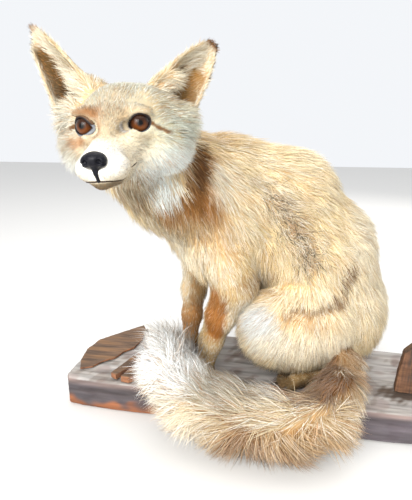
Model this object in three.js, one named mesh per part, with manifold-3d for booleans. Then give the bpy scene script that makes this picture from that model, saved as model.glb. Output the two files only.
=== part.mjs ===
// A seated red fox, a life-size taxidermy mount on a rough wooden slab.
// Millimetres, +Z up. The origin is the centre of the slab's underside; -Y is the slab's front, which
// the fox's left flank, turned head and draped tail face. The solids reach the tips of the coat.
import * as THREE from "three";
import { mergeVertices } from "three/addons/utils/BufferGeometryUtils.js";
import Module from "manifold-3d";

const wasm = await Module();
wasm.setup();

// ---------------------------------------------------------------- driving dimensions
const SLAB = { length: 530, depth: 174, thick: 45 };
const GAP = 0.35; // left between two solids that touch
const SLAB_TOP = SLAB.thick;
const FAR = 700; // side of a cutting box that passes right through the animal

const CELL = { body: 24, tail: 24, head: 14, leg: 15, paw: 11, nose: 5 }; // facets' size

const EYE = { radius: 10.5, eye_left: 22, eye_right: -26, ahead: 1 }; // the right eye is set wider
const HEAD = { x: -120, y: -194, z: 392, yaw: 4, pitch: 0, roll: 3 }; // eye line's middle

const RELAX = 3; // rounds that even the facets out

// ---------------------------------------------------------------- distance fields
const v3 = (x, y, z) => new THREE.Vector3(x, y, z);
const DEG = Math.PI / 180;

// An egg with three half-axes, turned by yaw about Z and then tipped by pitch about its own Y.
function egg(centre, radii, yaw = 0, pitch = 0) {
  const euler = new THREE.Euler(0, pitch * DEG, yaw * DEG, "ZYX");
  const turn = new THREE.Quaternion().setFromEuler(euler);
  const back = turn.invert();
  const c = v3(...centre);
  const r = v3(...radii);
  const q = v3(0, 0, 0);
  return (p) => {
    q.copy(p).sub(c).applyQuaternion(back).divide(r);
    const k0 = q.length();
    q.divide(r);
    const k1 = q.length();
    return k1 > 1e-9 ? (k0 * (k0 - 1)) / k1 : -Math.min(...radii);
  };
}

// A cone with round ends, from ball (a, ra) to ball (b, rb).
function roundCone(a, ra, b, rb) {
  const axis = b.clone().sub(a);
  const l2 = axis.lengthSq();
  const rr = ra - rb;
  const a2 = l2 - rr * rr;
  const pa = v3(0, 0, 0);
  const side = v3(0, 0, 0);
  return (p) => {
    pa.copy(p).sub(a);
    const y = pa.dot(axis);
    const z = y - l2;
    side.copy(pa).multiplyScalar(l2).addScaledVector(axis, -y);
    const x2 = side.lengthSq();
    const y2 = y * y * l2;
    const z2 = z * z * l2;
    const k = Math.sign(rr) * rr * rr * x2;
    if (Math.sign(z) * a2 * z2 > k) return Math.sqrt(x2 + z2) / l2 - rb;
    if (Math.sign(y) * a2 * y2 < k) return Math.sqrt(x2 + y2) / l2 - ra;
    return (Math.sqrt((x2 * a2) / l2) + y * rr) / l2 - ra;
  };
}

// The smooth union of fields; k is how far the fillet reaches.
function blend(k, ...fields) {
  return (p) =>
    fields.reduce((d, f) => {
      const e = f(p);
      const h = Math.max(k - Math.abs(d - e), 0) / k;
      return Math.min(d, e) - (h * h * k) / 4;
    }, Infinity);
}

// A limb through stations [x, y, z, radius].
function limb(k, ...stations) {
  const cones = stations.slice(1).map((s, i) => {
    const t = stations[i];
    return roundCone(v3(t[0], t[1], t[2]), t[3], v3(s[0], s[1], s[2]), s[3]);
  });
  return blend(k, ...cones);
}

// A field given in the head's frame: +X the fox's left, +Y forward, +Z up, the eye line's middle at 0.
const headTurn = new THREE.Matrix4()
  .makeTranslation(HEAD.x, HEAD.y, HEAD.z)
  .multiply(new THREE.Matrix4().makeRotationZ((HEAD.yaw + 180) * DEG))
  .multiply(new THREE.Matrix4().makeRotationX(HEAD.pitch * DEG))
  .multiply(new THREE.Matrix4().makeRotationY(HEAD.roll * DEG))
  .multiply(new THREE.Matrix4().makeScale(-1, 1, 1));
const headBack = headTurn.clone().invert();
function inHead(field) {
  const q = v3(0, 0, 0);
  return (p) => field(q.copy(p).applyMatrix4(headBack));
}
const headPoint = (x, y, z) => v3(x, y, z).applyMatrix4(headTurn);

// ---------------------------------------------------------------- surfaces and solids
// A grid cell's corners are numbered by their bits, x 1, y 2, z 4. Its edges run up from a corner.
const BITS = [1, 2, 4];
const CORNERS = [0, 1, 2, 3, 4, 5, 6, 7];
const EDGES = CORNERS.flatMap((a) => BITS.filter((bit) => !(a & bit)).map((bit) => [a, a | bit]));
const edgeFrom = (corner, bit) => EDGES.findIndex(([a, b]) => a === corner && b === (corner | bit));
const FACES = BITS.flatMap((bit) =>
  [0, bit].map((side) => ({
    corners: CORNERS.filter((c) => (c & bit) === side),
    edges: EDGES.map((_, e) => e).filter((e) => EDGES[e].every((c) => (c & bit) === side)),
  })),
);

// The loops in which the surface crosses a cell's edges, each a list of edges.
function loopsOf(inside) {
  const crossed = EDGES.map(([a, b]) => inside[a] !== inside[b]);
  const group = EDGES.map((_, e) => e);
  const join = (e, f) => {
    const old = group[f];
    group.forEach((g, i) => {
      if (g === old) group[i] = group[e];
    });
  };
  for (const { corners, edges } of FACES) {
    const cut = edges.filter((e) => crossed[e]);
    if (cut.length === 2) join(...cut);
    if (cut.length === 4)
      for (const c of corners.filter((c) => inside[c])) join(...cut.filter((e) => EDGES[e].includes(c)));
  }
  const loops = new Map();
  crossed.forEach((is, e) => {
    if (is) loops.set(group[e], [...(loops.get(group[e]) ?? []), e]);
  });
  return [...loops.values()];
}

// The closed surface where field is 0, inside the box from..to, on a grid of that cell.
function surfaceOf(field, from, to, cell) {
  const low = from.map((x) => x - 2 * cell);
  const n = [0, 1, 2].map((i) => Math.ceil((to[i] - low[i]) / cell) + 3);
  const at = (i, j, k) => (k * n[1] + j) * n[0] + i;
  const value = new Float64Array(n[0] * n[1] * n[2]);
  const p = v3(0, 0, 0);
  for (let k = 0; k < n[2]; k++)
    for (let j = 0; j < n[1]; j++)
      for (let i = 0; i < n[0]; i++)
        value[at(i, j, k)] = field(p.set(low[0] + i * cell, low[1] + j * cell, low[2] + k * cell));

  const offset = CORNERS.map((c) => v3(c & 1, (c >> 1) & 1, c >> 2));
  const vertexAt = new Map();
  const points = [];
  for (let k = 0; k < n[2] - 1; k++)
    for (let j = 0; j < n[1] - 1; j++)
      for (let i = 0; i < n[0] - 1; i++) {
        const v = offset.map((o) => value[at(i + o.x, j + o.y, k + o.z)]);
        for (const loop of loopsOf(v.map((d) => d < 0))) {
          const sum = v3(0, 0, 0);
          for (const e of loop) {
            const [a, b] = EDGES[e];
            sum.add(offset[a].clone().lerp(offset[b], v[a] / (v[a] - v[b])));
            vertexAt.set(at(i, j, k) * EDGES.length + e, points.length);
          }
          sum.divideScalar(loop.length).add(v3(i, j, k)).multiplyScalar(cell).add(v3(...low));
          points.push(settle(field, sum, cell));
        }
      }

  const index = [];
  const step = [at(1, 0, 0), at(0, 1, 0), at(0, 0, 1)];
  for (let k = 1; k < n[2] - 1; k++)
    for (let j = 1; j < n[1] - 1; j++)
      for (let i = 1; i < n[0] - 1; i++)
        for (let axis = 0; axis < 3; axis++) {
          const here = at(i, j, k);
          const inside = value[here] < 0;
          if (inside === value[here + step[axis]] < 0) continue;
          const u = (axis + 1) % 3;
          const w = (axis + 2) % 3;
          const ring = [[1, 1], [0, 1], [0, 0], [1, 0]].map(([back, down]) => {
            const corner = back * BITS[u] + down * BITS[w];
            const owner = here - back * step[u] - down * step[w];
            return vertexAt.get(owner * EDGES.length + edgeFrom(corner, BITS[axis]));
          });
          if (!inside) ring.reverse();
          index.push(ring[0], ring[1], ring[2], ring[0], ring[2], ring[3]);
        }
  for (let turn = 0; turn < RELAX; turn++) even(field, points, index, cell);
  const geometry = new THREE.BufferGeometry().setFromPoints(points);
  geometry.setIndex(index);
  return geometry;
}

// Draws each vertex towards the middle of its neighbours and back on to the surface.
function even(field, points, index, cell) {
  const sum = points.map(() => v3(0, 0, 0));
  const count = new Float64Array(points.length);
  for (let i = 0; i < index.length; i += 3)
    for (let k = 0; k < 3; k++) {
      const a = index[i + k];
      const b = index[i + ((k + 1) % 3)];
      sum[a].add(points[b]);
      sum[b].add(points[a]);
      count[a]++;
      count[b]++;
    }
  points.forEach((point, i) => {
    point.lerp(sum[i].divideScalar(count[i]), 0.5);
    point.copy(settle(field, point, cell));
  });
}

// Moves a grid vertex on to the field's surface, by no more than part of its cell.
function settle(field, point, cell) {
  const start = point.clone();
  const e = 0.5;
  for (let turn = 0; turn < 3; turn++) {
    const d = field(point);
    const slope = v3(
      field(v3(point.x + e, point.y, point.z)) - field(v3(point.x - e, point.y, point.z)),
      field(v3(point.x, point.y + e, point.z)) - field(v3(point.x, point.y - e, point.z)),
      field(v3(point.x, point.y, point.z + e)) - field(v3(point.x, point.y, point.z - e)),
    ).divideScalar(2 * e);
    point.addScaledVector(slope, -d / Math.max(slope.lengthSq(), 0.25));
  }
  const moved = point.clone().sub(start);
  return start.add(moved.clampLength(0, 0.45 * cell));
}

function solid(geometry, matrix) {
  const g = geometry.clone();
  g.deleteAttribute("normal");
  g.deleteAttribute("uv");
  if (matrix) g.applyMatrix4(matrix);
  const merged = mergeVertices(g, 1e-4);
  return new wasm.Manifold(
    new wasm.Mesh({
      numProp: 3,
      vertProperties: merged.attributes.position.array,
      triVerts: new Uint32Array(merged.index.array),
    }),
  );
}

function geometryOf(manifold) {
  const { numProp, vertProperties, triVerts } = manifold.getMesh();
  const count = vertProperties.length / numProp;
  const position = new Float32Array(count * 3);
  for (let i = 0; i < count; i++)
    position.set(vertProperties.subarray(i * numProp, i * numProp + 3), i * 3);
  const geometry = new THREE.BufferGeometry();
  geometry.setAttribute("position", new THREE.BufferAttribute(position, 3));
  geometry.setIndex(new THREE.BufferAttribute(triVerts, 1));
  geometry.computeVertexNormals();
  return geometry;
}

// The largest of the bodies that a cut leaves, and the others are dropped.
function largest(manifold) {
  const { numProp, vertProperties, triVerts } = manifold.getMesh();
  const corner = (v) => v3(...vertProperties.subarray(v * numProp, v * numProp + 3));
  const owner = Array.from({ length: vertProperties.length / numProp }, (_, i) => i);
  const find = (v) => {
    while (owner[v] !== v) v = owner[v] = owner[owner[v]];
    return v;
  };
  for (let i = 0; i < triVerts.length; i += 3)
    for (const k of [1, 2]) owner[find(triVerts[i])] = find(triVerts[i + k]);

  const volume = new Map();
  for (let i = 0; i < triVerts.length; i += 3) {
    const [a, b, c] = [0, 1, 2].map((k) => corner(triVerts[i + k]));
    const body = find(triVerts[i]);
    volume.set(body, (volume.get(body) ?? 0) + a.dot(b.cross(c)) / 6);
  }
  const best = [...volume].sort((a, b) => b[1] - a[1])[0][0];
  const kept = [];
  for (let i = 0; i < triVerts.length; i += 3)
    if (find(triVerts[i]) === best) kept.push(...triVerts.subarray(i, i + 3));
  const mesh = { numProp, vertProperties, triVerts: new Uint32Array(kept) };
  return new wasm.Manifold(new wasm.Mesh(mesh));
}

// A matrix that puts +Z along a direction, at a place.
function facing(place, direction) {
  const turn = new THREE.Quaternion().setFromUnitVectors(v3(0, 0, 1), direction.clone().normalize());
  return new THREE.Matrix4().compose(place, turn, v3(1, 1, 1));
}

// A cutter is a function of how much wider it is made, so that the piece and the rest keep a gap.
const boxCutter = (low, high) => (wider) => {
  const size = high.map((h, i) => h - low[i] + 2 * wider);
  const middle = high.map((h, i) => (h + low[i]) / 2);
  return solid(new THREE.BoxGeometry(...size), new THREE.Matrix4().makeTranslation(...middle));
};
const eggCutter =
  (centre, radii, yaw = 0) =>
  (wider) => {
    const size = radii.map((r) => r + wider);
    const matrix = new THREE.Matrix4()
      .makeTranslation(...centre)
      .multiply(new THREE.Matrix4().makeRotationZ(yaw * DEG))
      .multiply(new THREE.Matrix4().makeScale(...size));
    return solid(new THREE.SphereGeometry(1, 14, 9), matrix);
  };
// All that lies beyond a plane, within a square of that reach.
const beyond =
  (place, direction, reach = FAR) =>
  (wider) => {
    const away = direction.clone().normalize();
    const middle = place.clone().addScaledVector(away, reach / 2 - wider);
    return solid(new THREE.BoxGeometry(reach, reach, reach), facing(middle, away));
  };

// ---------------------------------------------------------------- the animal's fields
const trunkField = blend(
  38,
  egg([-50, -8, 284], [80, 66, 96], 12, 12),
  egg([25, 12, 270], [92, 70, 99], 12, 22),
  egg([86, 26, 206], [84, 72, 98], 12, 20),
  egg([124, 38, 130], [70, 74, 84], 12),
);
const neckField = blend(
  30,
  limb(20, [-66, -20, 296, 76], [-100, -74, 322, 62], [-124, -122, 352, 52]),
  limb(20, [-45, 5, 318, 60], [-96, -55, 338, 48], [-128, -110, 366, 42]),
);

// A foreleg: the shoulder's egg, then stations from the upper arm to the wrist.
const FORELEG = {
  left: {
    shoulder: egg([-44, -50, 256], [48, 32, 66], 12, 10),
    stations: [
      [-36, -50, 228, 40],
      [-24, -47, 190, 32],
      [-42, -42, 142, 22.5],
      [-57, -38, 98, 17.5],
      [-64, -38, 66, 14.5],
    ],
    paw: [-72, -39, SLAB_TOP + 9],
    heading: 188,
  },
  right: {
    shoulder: egg([-68, 34, 256], [46, 30, 66], 12, 10),
    stations: [
      [-80, 42, 224, 34],
      [-91, 47, 190, 25],
      [-99, 47, 142, 20],
      [-102, 45, 98, 16.5],
      [-105, 44, 66, 14],
    ],
    paw: [-108, 43, SLAB_TOP + 9],
    heading: 186,
  },
};
const HIND = {
  left: {
    haunch: egg([60, -36, 130], [78, 46, 68], 8, -8),
    knee: egg([22, -46, 132], [38, 34, 48], 8),
    heel: [130, -10, 62],
    toes: [62, -46, SLAB_TOP + 9],
    heading: 203,
  },
  right: {
    haunch: egg([36, 84, 130], [78, 44, 68], 16, -8),
    knee: egg([-4, 90, 132], [38, 32, 48], 16),
    heel: [108, 62, 62],
    toes: [24, 62, SLAB_TOP + 9],
    heading: 181,
  },
};
const PAW = { length: 34, toes: 4, toeRadius: 7.2, spread: 9.2, claw: 11 };

// A paw: a pad with four toes side by side.
function toePlaces(place, heading) {
  const ahead = v3(Math.cos(heading * DEG), Math.sin(heading * DEG), 0);
  const aside = v3(-ahead.y, ahead.x, 0);
  return Array.from({ length: PAW.toes }, (_, i) => {
    const across = (i - (PAW.toes - 1) / 2) * PAW.spread;
    const reach = PAW.length * (Math.abs(across) < PAW.spread ? 0.62 : 0.42);
    const root = v3(...place).addScaledVector(aside, across * 0.7);
    const tip = v3(...place).addScaledVector(aside, across).addScaledVector(ahead, reach);
    root.z = SLAB_TOP + 10;
    tip.z = SLAB_TOP + 6.5;
    return { root, tip, ahead };
  });
}
function pawField(place, heading) {
  const toes = toePlaces(place, heading);
  const pad = v3(...place);
  const back = pad.clone().addScaledVector(toes[0].ahead, -PAW.length * 0.25);
  const digits = toes.map(({ root, tip }) => roundCone(root, PAW.toeRadius * 0.9, tip, PAW.toeRadius));
  return blend(5, roundCone(back, 13, pad, 13), ...digits);
}
const halfway = (a, b) => a.map((x, i) => (x + b[i]) / 2);
const forelegField = (leg) => blend(4, limb(12, ...leg.stations), pawField(leg.paw, leg.heading));
const hindFootField = ({ heel, toes, heading }) =>
  blend(4, limb(8, [...heel, 15], [...halfway(heel, toes), 13], [...toes, 12.5]), pawField(toes, heading));

// The tail lies round the left hip, over the slab's front edge and along its foot, tip up at the end.
const TAIL = [
  [128, 48, 110, 26],
  [128, 10, 92, 26],
  [124, -45, 86, 30],
  [114, -96, 80, 36],
  [92, -128, 62, 42],
  [50, -141, 55, 47],
  [-10, -142, 57, 50],
  [-62, -132, 70, 50],
  [-96, -108, 88, 44],
  [-108, -84, 104, 34],
];
const tailField = limb(16, ...TAIL);

// The head, in its own frame.
const cheek = (side) =>
  blend(
    14,
    egg([side * 36, -28, -20], [32, 36, 34]),
    roundCone(v3(side * 34, -30, -22), 27, v3(side * 57, -60, -26), 11),
  );
const whiskerPad = (side) => egg([side * 9, 44, -36], [16, 20, 15]);
// The fur that fills the corner between each ear and the crown, and between it and the cheek.
const earRuffs = [
  roundCone(v3(-26, -44, 35), 16, v3(-44, -44, 45), 14),
  roundCone(v3(24, -50, 30), 15, v3(46, -52, 45), 15),
  egg([-54, -36, 4], [21, 22, 30]),
  egg([54, -46, 0], [20, 20, 26]),
];
const headSolid = blend(
  14,
  egg([0, -34, 4], [48, 46, 40]),
  egg([0, -4, -8], [37, 31, 27]),
  roundCone(v3(0, 4, -20), 23, v3(0, 54, -29), 14.5),
  roundCone(v3(0, 8, -36), 19, v3(0, 50, -41), 11.5),
  blend(6, whiskerPad(1), whiskerPad(-1)),
  cheek(1),
  cheek(-1),
  egg([4, -48, -34], [42, 40, 38]),
  blend(6, ...earRuffs),
);
const headField = inHead(headSolid);

const noseShape = blend(
  4,
  egg([0, 64, -27.5], [11.3, 9, 7.4]),
  egg([0, 63.5, -33.5], [6.5, 6.5, 5.5]),
);
const nostril = (side) => headPoint(side * 6.2, 70.5, -27.5);

const legs = [...Object.values(FORELEG).map(forelegField), ...Object.values(HIND).map(hindFootField)];
const bulk = blend(
  26,
  trunkField,
  neckField,
  FORELEG.left.shoulder,
  FORELEG.right.shoulder,
  HIND.left.haunch,
  HIND.left.knee,
  HIND.right.haunch,
  HIND.right.knee,
);
const foxField = blend(12, bulk, blend(8, headField), ...legs, tailField);

// ---------------------------------------------------------------- ears
// An ear: a rolled leaf, open to its front, lofted from base to tip in the head's frame.
const EARS = {
  left: { base: [30, -51, 7], tip: [88, -63, 73], front: [0.47, 1, 0.06], halfWidth: 32, taper: 0.47 },
  right: { base: [-41, -43, 11], tip: [-89, -42, 97], front: [-0.19, 1, 0.12], halfWidth: 29, taper: 0.52 },
};
const EAR = { rings: 8, arc: 6, thick: 6.5, wrap: 20, hollow: 0.62 };

// The ear's solid; wider makes the copy that cuts its seat.
function earGeometry({ base, tip, front, halfWidth, taper }, wider) {
  const b = headPoint(...base);
  const t = headPoint(...tip);
  const up = t.clone().sub(b).normalize();
  const ahead = v3(...front).transformDirection(headTurn);
  ahead.addScaledVector(up, -ahead.dot(up)).normalize();
  const aside = new THREE.Vector3().crossVectors(ahead, up).normalize();
  b.addScaledVector(up, -wider);
  t.addScaledVector(up, wider);

  const points = [];
  for (let i = 0; i < EAR.rings; i++) {
    const s = i / (EAR.rings - 1);
    const half = halfWidth * Math.pow(1 - s * 0.985, taper);
    const thick = EAR.thick * (1 - 0.45 * s);
    const middle = b.clone().lerp(t, s).addScaledVector(ahead, 0.2 * half);
    const wrap = EAR.wrap * (1 - s) * DEG + wider / half;
    const place = (angle, inset) => {
      const across = Math.max(half - inset, 0.25 * half);
      const deep = Math.max(half * EAR.hollow - inset, 0.08 * half);
      const out = middle.clone().addScaledVector(aside, across * Math.cos(angle));
      return out.addScaledVector(ahead, -deep * Math.sin(angle));
    };
    const sweep = (j) => -wrap + ((Math.PI + 2 * wrap) * j) / EAR.arc;
    for (let j = 0; j <= EAR.arc; j++) points.push(place(sweep(j), -wider));
    for (let j = EAR.arc; j >= 0; j--) points.push(place(sweep(j), thick + wider));
  }

  const turn = 2 * (EAR.arc + 1);
  const index = [];
  const quad = (a, c, d, e) => index.push(a, c, d, a, d, e);
  for (let i = 0; i < EAR.rings - 1; i++)
    for (let j = 0; j < turn; j++) {
      const next = (j + 1) % turn;
      quad(i * turn + j, (i + 1) * turn + j, (i + 1) * turn + next, i * turn + next);
    }
  const top = (EAR.rings - 1) * turn;
  for (let j = 0; j < EAR.arc; j++) {
    const over = turn - 1 - j;
    quad(j, j + 1, over - 1, over);
    quad(top + j, top + over, top + over - 1, top + j + 1);
  }
  const geometry = new THREE.BufferGeometry().setFromPoints(points);
  geometry.setIndex(index);
  return geometry;
}

// ---------------------------------------------------------------- claws
// A claw curves down from the toe; wider makes the copy that cuts its seat.
function clawGeometry({ tip, ahead }, wider = 0) {
  const start = tip.clone().addScaledVector(ahead, PAW.toeRadius * 0.45);
  const path = new THREE.QuadraticBezierCurve3(
    start.clone().add(v3(0, 0, 1.5)),
    start.clone().addScaledVector(ahead, PAW.claw * 0.6).add(v3(0, 0, 1.5)),
    start.clone().addScaledVector(ahead, PAW.claw).add(v3(0, 0, -4.2)),
  );
  const sides = 5;
  const rings = 3;
  const aside = v3(-ahead.y, ahead.x, 0);
  const points = [];
  for (let i = 0; i < rings; i++) {
    const s = i / rings;
    const along = path.getTangent(s);
    const upward = new THREE.Vector3().crossVectors(along, aside).negate();
    for (let j = 0; j < sides; j++) {
      const angle = (2 * Math.PI * j) / sides;
      const r = 1.7 * (1 - 0.75 * s) + wider;
      const out = path.getPoint(s).addScaledVector(aside, r * Math.cos(angle));
      points.push(out.addScaledVector(upward, r * Math.sin(angle)));
    }
  }
  const root = points.push(path.getPoint(0).addScaledVector(ahead, -wider)) - 1;
  const point = points.push(path.getPoint(1).addScaledVector(ahead, wider)) - 1;
  const index = [];
  for (let i = 0; i < rings; i++)
    for (let j = 0; j < sides; j++) {
      const a = i * sides + j;
      const c = i * sides + ((j + 1) % sides);
      if (i === 0) index.push(root, a, c);
      if (i === rings - 1) index.push(a, point, c);
      else index.push(a, c + sides, c, a, a + sides, c + sides);
    }
  const geometry = new THREE.BufferGeometry().setFromPoints(points);
  geometry.setIndex(index);
  return geometry;
}

// ---------------------------------------------------------------- the slab and what is fixed to it
const HALF = { x: SLAB.length / 2, y: SLAB.depth / 2 };
function slabOutline(grow = 0) {
  const left = -HALF.x - grow;
  const right = HALF.x + grow;
  const front = -HALF.y - grow;
  const back = HALF.y + grow;
  const shape = new THREE.Shape();
  shape.moveTo(left + 6, front + 4);
  shape.quadraticCurveTo(left + 60, front - 1, left + 150, front);
  shape.lineTo(right - 90, front);
  shape.quadraticCurveTo(right - 20, front + 1, right - 4, front + 8);
  shape.lineTo(right, back - 60);
  shape.lineTo(right - 26, back - 8);
  shape.lineTo(left + 240, back);
  shape.lineTo(left + 68, back + 3);
  shape.lineTo(left + 2, front + 92);
  shape.lineTo(left, front + 14);
  shape.closePath();
  return shape;
}
const BEVEL = 2.5;
function slabGeometry(grow = 0) {
  const geometry = new THREE.ExtrudeGeometry(slabOutline(grow - BEVEL), {
    depth: SLAB.thick + 2 * grow - 2 * BEVEL,
    curveSegments: 4,
    bevelEnabled: true,
    bevelThickness: BEVEL,
    bevelSize: BEVEL,
    bevelSegments: 1,
  });
  return geometry.translate(0, 0, BEVEL - grow);
}

// A piece of bark or split wood on the slab's top, as an outline seen from above.
function plate(points, thick, height = SLAB_TOP + GAP) {
  const shape = new THREE.Shape(points.map(([x, y]) => new THREE.Vector2(x, y)));
  return new THREE.ExtrudeGeometry(shape, { depth: thick, bevelEnabled: false }).translate(0, 0, height);
}
// The same standing on edge, its outline seen from the front.
function upright(points, thick, [x, y], yaw) {
  const matrix = new THREE.Matrix4()
    .makeTranslation(x, y, SLAB_TOP + GAP)
    .multiply(new THREE.Matrix4().makeRotationZ(yaw * DEG))
    .multiply(new THREE.Matrix4().makeRotationX(Math.PI / 2));
  return plate(points, thick, 0).applyMatrix4(matrix);
}
const bark = {
  base_bark_sheet: plate(
    [[-249, -62], [-232, -54], [-222, -36], [-208, -24], [-202, -4], [-190, 12], [-186, 40], [-190, 74],
      [-200, 92], [-226, 62], [-256, 26], [-263, -8], [-258, -40]],
    4,
  ),
  base_splinter_long: plate(
    [[-196, -73], [-186, -78], [-176, -58], [-160, -30], [-150, 0], [-158, 10], [-172, -6], [-184, -36]],
    9,
  ),
  base_splinter_short: plate(
    [[-178, -82], [-166, -84], [-152, -70], [-146, -40], [-140, -14], [-149, -6], [-157, -30], [-170, -56]],
    11,
  ),
  base_bark_shard: upright(
    [[0, 0], [52, 0], [60, 16], [54, 48], [30, 60], [17, 70], [6, 58], [2, 28]],
    16, [196, -22], -6,
  ),
};

// ---------------------------------------------------------------- parting the animal
// The same field faceted at the size each region needs; a region is closed by its box.
function facets(from, to, cell, shape = foxField) {
  const middle = from.map((x, i) => (x + to[i]) / 2);
  const half = from.map((x, i) => (to[i] - x) / 2);
  const box = (p) => {
    const over = [p.x, p.y, p.z].map((x, i) => Math.abs(x - middle[i]) - half[i]);
    return Math.max(...over);
  };
  return solid(surfaceOf((p) => Math.max(shape(p), box(p)), from, to, cell));
}
const around = (centre, reach) => [centre.map((x) => x - reach), centre.map((x) => x + reach)];

const PAW_REACH = { fore: 54, hind: 80 };
const copies = {
  body: facets([-240, -300, 0], [235, 175, 460], CELL.body),
  head: facets([-225, -300, 270], [-15, -80, 460], CELL.head),
  tail: facets([-175, -215, -10], [195, 20, 160], CELL.tail),
  foreleg: facets([-170, -100, 30], [30, 100, 232], CELL.leg),
};
for (const [name, legsOf] of [["fore", FORELEG], ["hind", HIND]])
  for (const [side, leg] of Object.entries(legsOf))
    copies[`${name}_${side}`] = facets(...around(leg.paw ?? leg.toes, PAW_REACH[name]), CELL.paw);

const parts = new Map();
const keep = (name, manifold) => parts.set(name, largest(manifold));
function leave(tool) {
  for (const key of Object.keys(copies)) copies[key] = copies[key].subtract(tool);
}
function seat(name, make) {
  keep(name, make(0));
  leave(make(GAP));
}
function take(name, source, cutter) {
  keep(name, copies[source].intersect(cutter(0)));
  leave(cutter(GAP));
}

// The coat lies on the slab and hangs clear of what that stands on.
leave(solid(slabGeometry(GAP)));
leave(boxCutter([-FAR, -FAR, -FAR], [FAR, FAR, 1.2])(0));

// Eyes, nose and claws are seated in the flesh and stay whole.
for (const [name, side] of [["eye_left", 1], ["eye_right", -1]]) {
  const place = new THREE.Matrix4().setPosition(headPoint(EYE[name], EYE.ahead, 0));
  seat(name, (wider) => solid(new THREE.SphereGeometry(EYE.radius + wider, 14, 10), place));
  const outward = v3(side * 0.45, 1, 0).transformDirection(headTurn);
  const lids = facing(headPoint(EYE[name] + side * 4.8, 12, 0.5), outward);
  leave(solid(new THREE.SphereGeometry(1, 12, 8), lids.scale(v3(9.6, 8.6, 13))));
}
seat("nose", (wider) => {
  const shape = inHead((p) => noseShape(p) - 1.8 * wider);
  const leather = facets(...around(headPoint(0, 64, -28).toArray(), 24), CELL.nose, shape);
  const holes = [1, -1].map((side) => {
    const place = new THREE.Matrix4().setPosition(nostril(side)).scale(v3(2, 4, 1.7));
    return solid(new THREE.SphereGeometry(1, 8, 6), place);
  });
  return wider ? leather : leather.subtract(holes[0]).subtract(holes[1]);
});
for (const [name, legsOf] of [["fore", FORELEG], ["hind", HIND]])
  for (const [side, leg] of Object.entries(legsOf))
    toePlaces(leg.paw ?? leg.toes, leg.heading).forEach((toe, i) =>
      seat(`${name}_${side}_claw_${i + 1}`, (wider) => solid(clawGeometry(toe, wider))),
    );

for (const side of ["left", "right"])
  seat(`ear_${side}`, (wider) => solid(earGeometry(EARS[side], wider)));

// Thin cuts part the rest where a person would name it.
const faceward = v3(0, 1, 0.12).transformDirection(headTurn);
take("head", "head", beyond(headPoint(0, -66, 0), faceward, 260));
for (const side of ["left", "right"]) {
  const { toes, heading } = HIND[side];
  const ahead = v3(Math.cos(heading * DEG), Math.sin(heading * DEG), 0);
  const middle = v3(toes[0], toes[1], 40).addScaledVector(ahead, -20);
  const matrix = new THREE.Matrix4().makeRotationZ(heading * DEG).setPosition(middle);
  take(`hind_${side}_paw`, `hind_${side}`, (wider) =>
    solid(new THREE.BoxGeometry(104 + 2 * wider, 44 + 2 * wider, 58 + 2 * wider), matrix),
  );
}
const kneePlane = (wider) => beyond(v3(4, -46, 166), v3(1, 0, -0.8), 300)(wider);
for (const side of ["left", "right"]) {
  const [x, y] = FORELEG[side].stations[3];
  const elbow = FORELEG[side].stations[1][0];
  take(`fore_${side}_paw`, `fore_${side}`, boxCutter([x - 58, y - 30, 0], [x + 24, y + 34, 82]));
  take(`fore_${side}_leg`, "foreleg", (wider) =>
    boxCutter([x - 60, y - 44, 0], [elbow + 40, y + 44, 185])(wider).subtract(kneePlane(-wider)),
  );
}
take("haunch_left", "body", eggCutter([56, -52, 132], [84, 42, 74], 8));
take("haunch_right", "body", eggCutter([32, 104, 132], [88, 44, 74], 14));
take("tail_tip", "tail", boxCutter([-FAR, -FAR, 0], [-66, -64, 170]));
take("tail_middle", "tail", boxCutter([-FAR, -FAR, 0], [66, -SLAB.depth / 2 + 4, 125]));
take("tail_root", "tail", boxCutter([55, -FAR, 0], [FAR, -24, 118]));
take("neck", "body", beyond(v3(-80, -50, 318), v3(-0.5, -0.8, 0.3)));
parts.set("trunk", largest(copies.body));

parts.set("base_slab", solid(slabGeometry()));
for (const [name, geometry] of Object.entries(bark)) parts.set(name, solid(geometry));

// ---------------------------------------------------------------- meshes
const PAINT = {
  coat: { color: 0xd9a566, roughness: 0.9 },
  pale: { color: 0xf0e2c4, roughness: 0.9 },
  rust: { color: 0xb26a33, roughness: 0.9 },
  nose: { color: 0x15171a, roughness: 0.35 },
  glass: { color: 0x6a3413, roughness: 0.05 },
  claw: { color: 0x3a3330, roughness: 0.5 },
  wood: { color: 0x6b5950, roughness: 0.85 },
  bark: { color: 0x8a5a34, roughness: 0.9 },
};
function paintOf(name) {
  if (name === "nose") return PAINT.nose;
  if (name.startsWith("eye_")) return PAINT.glass;
  if (name.includes("_claw_")) return PAINT.claw;
  if (name === "base_slab") return PAINT.wood;
  if (name.startsWith("base_")) return PAINT.bark;
  if (name === "tail_tip") return PAINT.pale;
  if (name.endsWith("_leg") || name.endsWith("_paw")) return PAINT.rust;
  return PAINT.coat;
}

const fox = new THREE.Group();
for (const [name, manifold] of parts) {
  const mesh = new THREE.Mesh(geometryOf(manifold), new THREE.MeshStandardMaterial(paintOf(name)));
  mesh.name = name;
  fox.add(mesh);
}

export default fox;
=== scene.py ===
"""A seated red fox, a life-size mount on a rough slab: its skin, coat, glass eyes, nose, claws and wood.

Shapes are worked out in millimetres and made in metres. World axes are the frame's: +Z up, and the
fox's left flank, turned head and tail face -Y. The head has axes of its own: +X the fox's left,
+Y forward and +Z up, from a place between the eyes.
"""

import math

import bpy
import numpy as np
import openvdb
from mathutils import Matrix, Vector
from mathutils.bvhtree import BVHTree
from mathutils.kdtree import KDTree


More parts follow.
